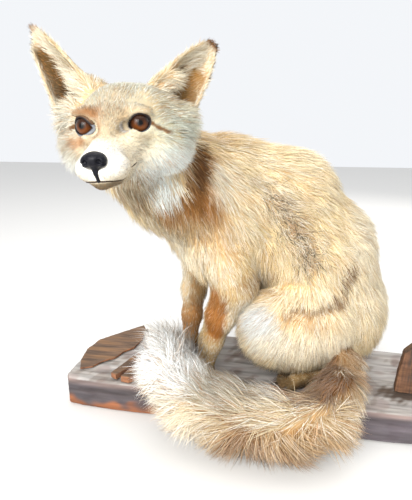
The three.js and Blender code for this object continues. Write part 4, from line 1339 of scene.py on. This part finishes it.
def shade_by(nodes, links, colour, value, low, high, within=(0.0, 1.0)):
    """Scales a colour from low to high as a value runs through a range, for the surface's own colour."""
    spread = nodes.new("ShaderNodeMapRange")
    spread.inputs["From Min"].default_value, spread.inputs["From Max"].default_value = within
    spread.inputs["To Min"].default_value = low
    spread.inputs["To Max"].default_value = high
    links.new(value, spread.inputs["Value"])
    scaled = nodes.new("ShaderNodeVectorMath")
    scaled.operation = "SCALE"
    links.new(colour, scaled.inputs[0])
    links.new(spread.outputs["Result"], scaled.inputs["Scale"])
    links.new(scaled.outputs["Vector"], nodes["Principled BSDF"].inputs["Base Color"])


def bump_by(nodes, links, height, strength, distance):
    """Roughens a surface by a height, distance being in metres."""
    bump = nodes.new("ShaderNodeBump")
    bump.inputs["Strength"].default_value = strength
    bump.inputs["Distance"].default_value = distance
    links.new(height, bump.inputs["Height"])
    links.new(bump.outputs["Normal"], nodes["Principled BSDF"].inputs["Normal"])
    return bump


def coat_material(name, grain, strength):
    """Hair: the coat's own colours with a fine, streaky unevenness and a dry, soft surface."""
    material, nodes, links, shader = new_material(name)
    noise = noise_node(nodes, links, grain)
    shade_by(nodes, links, kept_colour(nodes), noise.outputs["Fac"], 1 - strength, 1 + strength)
    shader.inputs["Roughness"].default_value = 0.72
    shader.inputs["Specular IOR Level"].default_value = 0.15
    return material


def skin_material():
    """Skin under the coat, with the lie of short fur as bump."""
    material = coat_material("skin_fur", 420, 0.14)
    nodes, links = material.node_tree.nodes, material.node_tree.links
    fibres = noise_node(nodes, links, 900, 3, (1, 1, 0.3))
    bump_by(nodes, links, fibres.outputs["Fac"], 0.5, 0.0006)
    return material


# ------------------------------------------------------------------ the skin and the coat, put in place
def place_in(obj, instead_of=()):
    """Puts a piece on the one body, and hides the frame's nodes that it stands for."""
    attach(obj, "root")
    if instead_of:
        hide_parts(*instead_of)


FLESH = [
    "head", "neck", "trunk", "ear_left", "ear_right", "haunch_left", "haunch_right", "fore_left_leg",
    "fore_right_leg", "fore_left_paw", "fore_right_paw", "hind_left_paw", "hind_right_paw", "tail_root",
    "tail_middle", "tail_tip",
]


# How the skin's colour is to the coat's over it: darker and warmer, partly its own colour and partly painted
# shade under the coat, and less so under the face's close hair.
UNDER_LONG = np.array((0.72, 0.56, 0.40))
UNDER_SHORT = np.array((0.92, 0.86, 0.78))


def make_skin():
    """One skin for the whole animal, in the coat's markings, under the coat."""
    skin = build_skin()
    skin_map = SkinMap(skin)
    points = skin_map.points
    regions = region_of(points)
    colours = np.empty((len(points), 3))
    for index in np.unique(regions):
        mine = regions == index
        colours[mine] = coat_colours(points[mine], skin_map.normals[mine], REGIONS[index])
    # Darker under the long coat than under the face's close hair: partly painted shade.
    short = step(95, 45, np.linalg.norm(to_head(points) - (0, 50, -20), axis=1))[:, None]
    colours = colours * (UNDER_LONG * (1 - short) + UNDER_SHORT * short)
    rims = np.zeros(len(points))
    for side in (1, -1):
        away = np.linalg.norm(points - from_head((EYE_X[side], EYE["ahead"], 0)), axis=1)
        rims = np.maximum(rims, step(EYE["radius"] + 1.1, EYE["radius"] + 0.5, away))
    colours = mixed(colours, DARK, rims)
    colour_attribute(skin.data, colours)
    skin.data.materials.append(skin_material())
    place_in(skin, instead_of=FLESH)
    return skin, skin_map


def make_coat(skin_map):
    """The coat, piece by piece."""
    grown = coat_material("coat_hair", 160, 0.10)
    for piece in COATS:
        made = grow_coat(skin_map, piece)
        made.data.materials.append(grown)
        place_in(made)


# ------------------------------------------------------------------ eyes
def eye_axes(side, yaw):
    """An eye's centre in the head's axes, the way that it faces, its upward way and its outward one."""
    centre = np.array((EYE_X[side], EYE["ahead"], 0.0))
    facing = level_way(yaw[side])
    outward = unit(np.cross(facing, (0, 0, 1)) * side)
    tilt = math.radians(10)
    outer = outward * math.cos(tilt) + np.array((0, 0, 1)) * math.sin(tilt)
    upward = np.cross(outer, facing) * side
    return centre, facing, unit(upward), unit(outer)


# Colours from the middle of the pupil outward. A place is the distance from that middle, with the eye's
# radius as 1, and what the iris's streaks add to it, about 0.11.
EYE_RINGS = [
    (0.00, (0.001, 0.001, 0.001)), (0.31, (0.001, 0.001, 0.001)), (0.35, (0.03, 0.008, 0.002)),
    (0.52, (0.085, 0.024, 0.004)), (0.76, (0.045, 0.012, 0.003)), (0.90, (0.006, 0.003, 0.002)),
    (0.95, (0.002, 0.002, 0.002)),
]


def eye_material(name, side):
    """Glass: a round pupil, a streaked brown iris with painted shade of the upper lid over its top and
    painted light on its lower half, and a black rim.
    """
    centre, gaze, *_ = eye_axes(side, GAZE_YAW)
    material, nodes, links, shader = new_material(name)
    where = nodes.new("ShaderNodeTexCoord")
    mapping = nodes.new("ShaderNodeMapping")
    mapping.vector_type = "TEXTURE"
    look = Vector(HEAD_TURN @ gaze)
    mapping.inputs["Location"].default_value = Vector(from_head(centre)) * MM
    mapping.inputs["Rotation"].default_value = look.to_track_quat("Z", "Y").to_euler()
    mapping.inputs["Scale"].default_value = [EYE["radius"] * MM] * 3
    links.new(where.outputs["Object"], mapping.inputs["Vector"])
    split = nodes.new("ShaderNodeSeparateXYZ")
    flat = nodes.new("ShaderNodeCombineXYZ")
    length = nodes.new("ShaderNodeVectorMath")
    length.operation = "LENGTH"
    links.new(mapping.outputs["Vector"], split.inputs["Vector"])
    links.new(split.outputs["X"], flat.inputs["X"])
    links.new(split.outputs["Y"], flat.inputs["Y"])
    links.new(flat.outputs["Vector"], length.inputs[0])
    spoke = nodes.new("ShaderNodeVectorMath")
    spoke.operation = "NORMALIZE"
    links.new(flat.outputs["Vector"], spoke.inputs[0])
    streaks = nodes.new("ShaderNodeTexNoise")
    streaks.inputs["Scale"].default_value = 9
    streaks.inputs["Detail"].default_value = 4
    links.new(spoke.outputs["Vector"], streaks.inputs["Vector"])
    shift = nodes.new("ShaderNodeMath")
    shift.operation = "MULTIPLY_ADD"
    shift.inputs[1].default_value = 0.22
    links.new(streaks.outputs["Fac"], shift.inputs[0])
    links.new(length.outputs["Value"], shift.inputs[2])
    rings = nodes.new("ShaderNodeValToRGB")
    ramp = rings.color_ramp
    while len(ramp.elements) < len(EYE_RINGS):
        ramp.elements.new(0.5)
    for element, (place, colour) in zip(ramp.elements, EYE_RINGS):
        element.position = place
        element.color = (*colour, 1)
    links.new(shift.outputs["Value"], rings.inputs["Fac"])
    # Painted shade and light: the iris is scaled from 1.5 times at the bottom to 0.3 times at the top, as if
    # the upper lid shaded it.
    shade_by(nodes, links, rings.outputs["Color"], split.outputs["Y"], 1.5, 0.3, (-0.35, 0.3))
    shader.inputs["Roughness"].default_value = 0.4
    shader.inputs["Specular IOR Level"].default_value = 0.04
    shader.inputs["Coat Weight"].default_value = 0.45
    shader.inputs["Coat Roughness"].default_value = 0.03
    shader.inputs["Coat IOR"].default_value = 1.45
    return material


def make_eye(side, name):
    """A glass ball whose front stands out a little, as a cornea does."""
    centre, gaze, *_ = eye_axes(side, GAZE_YAW)
    world, look = from_head(centre), HEAD_TURN @ gaze
    bpy.ops.mesh.primitive_uv_sphere_add(
        segments=40, ring_count=24, radius=EYE["radius"] * MM, location=Vector(world) * MM
    )
    eye = bpy.context.object
    eye.name = f"glass_{name}"
    bpy.ops.object.transform_apply(location=True)
    mesh = eye.data
    points = points_of(mesh)
    facing = (unit(points - world) * look).sum(1)
    bulge = 0.7 * step(0.72, 1.0, facing)[:, None]
    put_points(mesh, points + look * bulge)
    eye.modifiers.new("round", "SUBSURF").levels = 1
    eye.modifiers["round"].render_levels = 1
    bpy.ops.object.modifier_apply(modifier="round")
    bpy.ops.object.shade_smooth()
    mesh.materials.append(eye_material(f"glass_eye_{name}", side))
    place_in(eye, instead_of=[f"eye_{name}"])
    eye.select_set(False)


# The lid's section: how far out from the opening, as a share of it, and how high over the ball, in mm.
LID_SECTION = [
    (0.99, 0.05), (0.97, 0.5), (0.99, 0.9), (1.04, 1.3), (1.12, 1.6), (1.22, 1.6), (1.38, 1.0), (1.34, 0.2),
    (1.2, 0.05),
]
LID = {"half_width": 9.2, "upper": 6.9, "lower": 7.0}
LID_LINE = np.array((0.018, 0.013, 0.012))
LID_GREY = np.array((0.28, 0.31, 0.36))
LID_BROWN = np.array((0.16, 0.09, 0.05))


def make_lids(side, name):
    """The lids: one soft ring round an almond opening, its outer corner high and its inner one pale."""
    centre, gaze, upward, outer = eye_axes(side, OPENING_YAW)
    turns = np.linspace(0, 2 * math.pi, 56, endpoint=False)
    points, colours = [], []
    for turn in turns:
        wide = math.cos(turn)
        high = math.sin(turn) * abs(math.sin(turn)) ** 0.25
        half = LID["upper"] if high > 0 else LID["lower"]
        corner = 1 + 0.05 * max(0, -wide) ** 6
        for out, lift in LID_SECTION:
            a = wide * LID["half_width"] * out * corner
            b = high * half * out - 0.2 * (wide < 0) * wide**2
            ahead = math.sqrt(max(EYE["radius"] ** 2 - a * a - b * b, 4.0))
            point = unit(outer * a + upward * b + gaze * ahead) * (EYE["radius"] + lift)
            points.append(centre + point)
            inner_low = max(0.0, -wide) ** 1.5 * (1.0 if high < 0.3 else 0.0) + 0.6 * max(0.0, -high)
            beyond = float(step(1.0, 1.04, out))
            pale = min(1.0, inner_low) * beyond
            brown = (1 - min(1.0, inner_low)) * float(step(1.06, 1.14, out)) * 0.85
            colour = LID_LINE * (1 - pale) + LID_GREY * pale * 0.85
            colours.append(colour * (1 - brown) + LID_BROWN * brown)
    size = len(LID_SECTION)
    faces = []
    for i in range(len(turns)):
        here, there = i * size, (i + 1) % len(turns) * size
        for j in range(size):
            k = (j + 1) % size
            a, b, c, d = here + j, here + k, there + j, there + k
            faces.append((a, c, d, b) if side > 0 else (a, b, d, c))
    lids = new_mesh(f"lids_{name}", from_head(np.array(points)), np.array(faces))
    colour_attribute(lids.data, np.array(colours))
    lids.data.materials.append(LID_SKIN)
    place_in(lids)


def bare_skin_material(name, roughness, scale, depth):
    """Bare dark skin: its own colours, finely pebbled and a little shiny."""
    material, nodes, links, shader = new_material(name)
    pebbles = nodes.new("ShaderNodeTexVoronoi")
    where = nodes.new("ShaderNodeTexCoord")
    pebbles.inputs["Scale"].default_value = scale
    links.new(where.outputs["Object"], pebbles.inputs["Vector"])
    bump_by(nodes, links, pebbles.outputs["Distance"], 0.6, depth).invert = True
    shade_by(nodes, links, kept_colour(nodes), pebbles.outputs["Distance"], 1.25, 0.65)
    shader.inputs["Roughness"].default_value = roughness
    shader.inputs["Specular IOR Level"].default_value = 0.1
    shader.inputs["Coat Weight"].default_value = 0.08
    shader.inputs["Coat Roughness"].default_value = 0.2
    return material


LID_SKIN = bare_skin_material("lid_skin", 0.45, 900, 0.0002)


# ------------------------------------------------------------------ nose, mouth and claws
NOSE_BLACK = np.array((0.006, 0.006, 0.009))
# A painted highlight along the nose's upper edge.
NOSE_TOP_HIGHLIGHT = np.array((0.02, 0.018, 0.02))  # along the nose's upper edge


def make_nose():
    """The leather of the nose, with its wings, comma nostrils, groove and the cleft below it."""
    low, high = from_head((-20, 48, -54)), from_head((20, 80, -12))
    low, high = np.minimum(low, high) - 3, np.maximum(low, high) + 3
    volume = Volume(*(lines((a, 0), (b, 0.55)) for a, b in zip(low, high)))
    volume.add(head_egg((0, 62.5, -27.0), (10.0, 8.8, 6.6)), 2)
    for side in (1, -1):
        volume.add(head_egg((side * 6.6, 64.2, -28.6), (4.0, 5.2, 4.6), side * -16), 2)
    volume.add(head_cone((0, 63.5, -32), 3.6, (0, 62.5, -38), 2.2), 2)
    volume.add(head_cone((0, 62.5, -38), 2.0, (0.4, 59.8, -44.5), 1.5), 1)
    volume.carve(head_cone((0, 73.4, -25), 1.1, (0, 71.2, -33), 1.0), 1.2)
    volume.carve(head_cone((0, 70, -33), 0.8, (0, 63, -45), 0.7), 1.2)
    for side in (1, -1):
        volume.carve(head_egg((side * 5.3, 71.0, -28.6), (2.3, 4.2, 2.4), side * 14), 1.0)
        slit = head_cone((side * 6.6, 69.8, -29.6), 1.1, (side * 10.8, 65.2, -30.6), 0.7)
        volume.carve(slit, 1.0)
    points, quads = volume.surface()
    nose = new_mesh("nose_pad", points, quads)
    # A painted highlight along the nose's upper edge, paler than the black leather.
    top_highlight = step(-24, -20.5, to_head(points)[:, 2])
    colour_attribute(nose.data, mixed(np.tile(NOSE_BLACK, (len(points), 1)), NOSE_TOP_HIGHLIGHT, top_highlight))
    nose.data.materials.append(bare_skin_material("nose_leather_skin", 0.32, 620, 0.00045))
    place_in(nose, instead_of=["nose"])


def tube(path, radii, sides=8):
    """Points and triangles of a closed tube through path, its ends drawn together."""
    path = np.asarray(path, float)
    tangents = unit(np.gradient(path, axis=0))
    points, faces = [], []
    guide = np.array((0.13, 0.07, 0.99))
    for centre, tangent, radius in zip(path, tangents, radii):
        aside = unit(np.cross(tangent, guide))
        over = np.cross(aside, tangent)
        for j in range(sides):
            angle = 2 * math.pi * j / sides
            points.append(centre + radius * (aside * math.cos(angle) + over * math.sin(angle)))
    first, last = len(points), len(points) + 1
    points += [path[0] - tangents[0] * radii[0] * 0.6, path[-1] + tangents[-1] * radii[-1] * 0.6]
    end = (len(path) - 1) * sides
    for j in range(sides):
        k = (j + 1) % sides
        faces.append((first, k, j))
        faces.append((last, end + j, end + k))
        for i in range(len(path) - 1):
            a, b = i * sides + j, i * sides + k
            faces += [(a, b, b + sides), (a, b + sides, a + sides)]
    return np.array(points), np.array(faces)


def joined(tubes):
    """The points and triangles of several tubes as one mesh's."""
    points, faces = zip(*tubes)
    starts = np.cumsum([0, *(len(part) for part in points[:-1])])
    return np.vstack(points), np.vstack([part + start for part, start in zip(faces, starts)])


def on_skin(tree, points, proud=0.0):
    """The nearest places on the skin, stood proud of it by so many millimetres."""
    found = []
    for point in points:
        place, normal, *_ = tree.find_nearest(Vector(point) * MM)
        found.append(np.array(place) / MM + np.array(normal) * proud)
    return np.array(found)


# How thick the line of the lips is, from under the nose to the corner.
LIP_LINE = [(0, 0.85), (0.3, 0.7), (0.5, 0.35), (0.72, 0.25), (0.9, 0.65), (1, 0.3)]
LIP_BROWN = (0.035, 0.022, 0.015)


def make_lips(skin):
    """The dark line where the lips meet, from under the nose back to both corners."""
    tree = BVHTree.FromPolygons(
        [vertex.co for vertex in skin.data.vertices], [face.vertices for face in skin.data.polygons]
    )
    halves = []
    for side in (1, -1):
        path = smooth_path([from_head(np.array(p) * (side, 1, 1)) for p in MOUTH], 40)
        path = smooth_path(on_skin(tree, path, 0.1)[::3], 44)
        halves.append(tube(path, np.interp(np.linspace(0, 1, len(path)), *zip(*LIP_LINE))))
    points, faces = joined(halves)
    lips = new_mesh("lips", points, faces)
    colour_attribute(lips.data, np.tile(LIP_BROWN, (len(points), 1)))
    lips.data.materials.append(LID_SKIN)
    place_in(lips)


def claw_material():
    """Horn: dark brown, paler to the tip, finely streaked along its length."""
    material, nodes, links, shader = new_material("claw_horn_finish")
    noise = noise_node(nodes, links, 260, 5)
    ramp = nodes.new("ShaderNodeValToRGB")
    ramp.color_ramp.elements[0].color = (0.035, 0.022, 0.014, 1)
    ramp.color_ramp.elements[1].color = (0.17, 0.11, 0.07, 1)
    links.new(noise.outputs["Fac"], ramp.inputs["Fac"])
    links.new(ramp.outputs["Color"], shader.inputs["Base Color"])
    shader.inputs["Roughness"].default_value = 0.35
    shader.inputs["Coat Weight"].default_value = 0.2
    return material


def make_claws():
    """Four curved claws on each paw, one piece."""
    horns, nodes = [], []
    for name, (place, heading) in PAWS.items():
        toes, ahead = toe_places(place, heading)
        for i, (_, tip) in enumerate(toes):
            start = tip + ahead * PAW["toe_radius"] * 0.3
            foot, crest = start + (0, 0, 1.5), start + ahead * 6.5 + (0, 0, 1.6)
            point = start + ahead * 11 - (0, 0, 3.2)
            t = np.linspace(0, 1, 12)[:, None]
            path = foot * (1 - t) ** 2 + crest * 2 * t * (1 - t) + point * t**2
            horns.append(tube(path, 1.75 * (1 - 0.85 * t[:, 0]), 10))
            nodes.append(f"{name}_claw_{i + 1}")
    claws = new_mesh("claws", *joined(horns))
    claws.data.materials.append(claw_material())
    place_in(claws, instead_of=nodes)


# ------------------------------------------------------------------ the slab and its bark
def remade(node, name, voxel):
    """A finer copy of a node's solid, its loose triangles merged first."""
    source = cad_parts[node]
    copy = source.copy()
    copy.data = source.data.copy()
    copy.name = name
    for key in list(copy.keys()):
        del copy[key]
    copy.parent = None
    bpy.context.scene.collection.objects.link(copy)
    copy.data.materials.clear()
    bpy.context.view_layer.objects.active = copy
    copy.select_set(True)
    bpy.ops.object.mode_set(mode="EDIT")
    bpy.ops.mesh.select_all(action="SELECT")
    bpy.ops.mesh.remove_doubles(threshold=1e-6)
    bpy.ops.object.mode_set(mode="OBJECT")
    mesher = copy.modifiers.new("mesher", "REMESH")
    mesher.mode = "VOXEL"
    mesher.voxel_size = voxel * MM
    bpy.ops.object.modifier_apply(modifier="mesher")
    bpy.ops.object.shade_smooth()
    copy.select_set(False)
    return copy


def grain(points, seed):
    """Weathered grain along the wood: fine and coarse ridges, from 0 to 1."""
    stretched = points * (0.10, 1, 1)
    fine = ripple(stretched, 5, seed) * 0.5 + 0.5
    coarse = ripple(stretched, 17, seed + 1) * 0.5 + 0.5
    return fine * 0.45 + coarse * 0.55


def sunk(obj, depth):
    """Presses a mesh inward by a depth for each point."""
    mesh = obj.data
    points, normals = points_of(mesh), normals_of(mesh)
    put_points(mesh, points - normals * depth[:, None])
    mesh.update()


def wood_material(name, streak_scale):
    """Weathered wood: painted-in tones, with grey fibres, dark checks and a dry rough surface."""
    material, nodes, links, shader = new_material(name)
    fibres = noise_node(nodes, links, streak_scale, 8, (0.12, 1, 1))
    fine = noise_node(nodes, links, 900, 4)
    shade_by(nodes, links, kept_colour(nodes), fibres.outputs["Fac"], 0.7, 1.3, (0.3, 0.7))
    height = nodes.new("ShaderNodeMath")
    height.operation = "MULTIPLY_ADD"
    height.inputs[1].default_value = 0.35
    links.new(fine.outputs["Fac"], height.inputs[0])
    links.new(fibres.outputs["Fac"], height.inputs[2])
    bump_by(nodes, links, height.outputs["Value"], 0.8, 0.0012)
    shader.inputs["Roughness"].default_value = 0.85
    shader.inputs["Specular IOR Level"].default_value = 0.25
    return material


WOOD_GREY = np.array((0.34, 0.32, 0.30))
WOOD_PALE = np.array((0.36, 0.33, 0.30))
WOOD_DARK = np.array((0.05, 0.035, 0.028))
WOOD_PURPLE = np.array((0.058, 0.048, 0.058))
WOOD_PINK = np.array((0.27, 0.20, 0.18))
WOOD_ORANGE = np.array((0.24, 0.09, 0.04))
BARK_BROWN = np.array((0.075, 0.047, 0.031))
BARK_ORANGE = np.array((0.17, 0.092, 0.046))
MOSS = np.array((0.06, 0.035, 0.02))


def make_slab():
    """The slab: grey weathered top, darker sawn front with a warm lower edge and a pale upper one."""
    slab = remade("base_slab", "slab", 2.4)
    points, normals = points_of(slab.data), normals_of(slab.data)
    ridges = grain(points, 70)
    checks = step(0.42, 0.62, np.abs(ripple(points * (0.05, 1, 1), 26, 74))) * 0.6
    sunk(slab, 0.15 + 1.3 * (1 - ridges) + 1.0 * checks * (1 - ridges))
    x, y, z = points.T
    top = step(0.5, 0.8, normals[:, 2])
    colours = np.tile(WOOD_GREY, (len(points), 1))
    mottle = ripple(points, 60, 71) * 0.5 + 0.5
    colours = mixed(colours, WOOD_PALE, step(0.45, 0.9, mottle) * 0.7)
    colours = mixed(colours, WOOD_DARK, step(0.4, 0.1, ridges) * 0.3)
    colours = mixed(colours, WOOD_PINK * 0.8, step(0.1, 0.7, ripple(points, 38, 76)) * 0.5)
    colours = mixed(colours, BARK_BROWN * 1.6, step(0.3, 0.8, ripple(points, 22, 77)) * 0.4)
    front = (1 - top) * step(-30, -60, y)
    colours = mixed(colours, WOOD_PURPLE * np.where(x > 60, 1.4, 0.8)[:, None], front * 0.9)
    colours = mixed(colours, WOOD_PINK, front * step(33, 42, z) * (0.4 + 0.6 * mottle))
    warm = front * step(17, 6, z + 8 * ripple(points, 34, 72)) * step(60, -90, x)
    colours = mixed(colours, WOOD_ORANGE, warm)
    colours = mixed(colours, WOOD_DARK, (1 - top) * (1 - ridges) * 0.45)
    moss = top * step(24, 10, np.hypot((x - 205) / 1.6, y + 40) + 6 * ripple(points, 12, 73))
    colours = mixed(colours, MOSS, moss * 0.9)
    colour_attribute(slab.data, colours)
    slab.data.materials.append(wood_material("slab_weathered", 120))
    place_in(slab, instead_of=["base_slab"])


# How brown, how orange, how bright at the edges and how dark in the grain: for the upright shard, whose
# grain stands up, and for the pieces that lie flat.
SHARD_TONES = (1.0, 1.0, 0.25, 0.8)
FLAT_TONES = (1.9, 1.5, 0.6, 0.5)
BARK_FINISH = wood_material("bark_grain", 220)


def make_bark(name, seed):
    """A piece of bark: brown grain with orange broken edges."""
    node = f"base_{name}"
    upright = "shard" in name
    brown, orange, edge, dark = SHARD_TONES if upright else FLAT_TONES
    bark = remade(node, name, 1.2)
    points, normals = points_of(bark.data), normals_of(bark.data)
    ridges = grain(points[:, (2, 1, 0)] if upright else points, seed)
    sunk(bark, 0.1 + 0.8 * (1 - ridges))
    colours = np.tile(BARK_BROWN * brown, (len(points), 1))
    colours = mixed(colours, BARK_ORANGE * orange, step(0.45, 0.8, ridges) * 0.6)
    colours = mixed(colours, WOOD_ORANGE, (1 - step(0.3, 0.75, np.abs(normals[:, 2]))) * edge)
    colours = mixed(colours, WOOD_DARK, step(0.4, 0.15, ridges) * dark)
    colour_attribute(bark.data, colours)
    bark.data.materials.append(BARK_FINISH)
    place_in(bark, instead_of=[node])


# ------------------------------------------------------------------ floor, light and camera
def make_floor():
    """A plain pale sheet under the slab."""
    bpy.ops.mesh.primitive_plane_add(size=8, location=(0, 0, -0.0005))
    floor = bpy.context.object
    floor.name = "floor"
    bpy.ops.object.mode_set(mode="EDIT")
    bpy.ops.mesh.select_all(action="SELECT")
    bpy.ops.mesh.subdivide(number_cuts=3)
    bpy.ops.object.mode_set(mode="OBJECT")
    material, *_, shader = new_material("floor_paper")
    shader.inputs["Base Color"].default_value = (0.68, 0.67, 0.65, 1)
    shader.inputs["Roughness"].default_value = 0.9
    floor.data.materials.append(material)
    floor.select_set(False)


def soft_light(name, place, towards, size, power, colour):
    """A rectangular lamp. Places and sizes are in metres and power is in watts."""
    light = bpy.data.lights.new(name, "AREA")
    light.shape = "RECTANGLE"
    light.size, light.size_y = size
    light.energy = power
    light.color = colour
    lamp = bpy.data.objects.new(name, light)
    lamp.location = place
    lamp.rotation_euler = (Vector(towards) - Vector(place)).to_track_quat("-Z", "Y").to_euler()
    bpy.context.scene.collection.objects.link(lamp)


def make_light():
    """A wide window in front, with a low fill, a soft sky, a back light and a glint for the eyes."""
    world = bpy.data.worlds.new("studio")
    world.use_nodes = True
    world.node_tree.nodes["Background"].inputs["Color"].default_value = (0.95, 0.97, 1.0, 1)
    world.node_tree.nodes["Background"].inputs["Strength"].default_value = 0.95
    bpy.context.scene.world = world
    middle = (0, -0.05, 0.25)
    soft_light("window", (-0.35, -1.95, 1.25), middle, (1.8, 1.3), 68, (1.0, 0.99, 0.97))
    soft_light("fill", (-0.25, -1.6, 0.32), (0, -0.05, 0.2), (1.6, 0.6), 8, (1.0, 0.98, 0.95))
    soft_light("sky", (0.2, -0.1, 2.1), middle, (2.0, 2.0), 15, (1.0, 1.0, 0.98))
    soft_light("back", (0.8, 1.4, 1.2), middle, (1.2, 1.2), 12, (1.0, 0.97, 0.93))
    soft_light("glint", (-0.25, -1.3, 0.95), (-0.12, -0.2, 0.39), (0.12, 0.12), 1.6, (1.0, 1.0, 1.0))
    bpy.context.scene.view_settings.view_transform = "Standard"


# The place is in metres, the lens in millimetres, and the way that it looks in degrees.
CAMERA = {"place": (0.034, -0.581, 0.390), "lens": 30.96, "down": 16.0, "left": 10.25}


def make_camera():
    """At the height of the fox's nose, a little to its left and looking down on it."""
    camera = bpy.data.cameras.new("camera")
    camera.sensor_fit = "VERTICAL"
    camera.sensor_height = 36
    camera.lens = CAMERA["lens"]
    camera.clip_start = 0.02
    seen = bpy.data.objects.new("camera", camera)
    seen.location = CAMERA["place"]
    seen.rotation_euler = (math.radians(90 - CAMERA["down"]), 0, math.radians(CAMERA["left"]))
    bpy.context.scene.collection.objects.link(seen)
    bpy.context.scene.camera = seen


make_camera()
make_light()
make_floor()
skin, skin_map = make_skin()
make_coat(skin_map)
for side, name in ((1, "left"), (-1, "right")):
    make_eye(side, name)
    make_lids(side, name)
make_nose()
make_lips(skin)
make_claws()
make_slab()
for number, name in enumerate(("bark_sheet", "splinter_long", "splinter_short", "bark_shard")):
    make_bark(name, 80 + 4 * number)
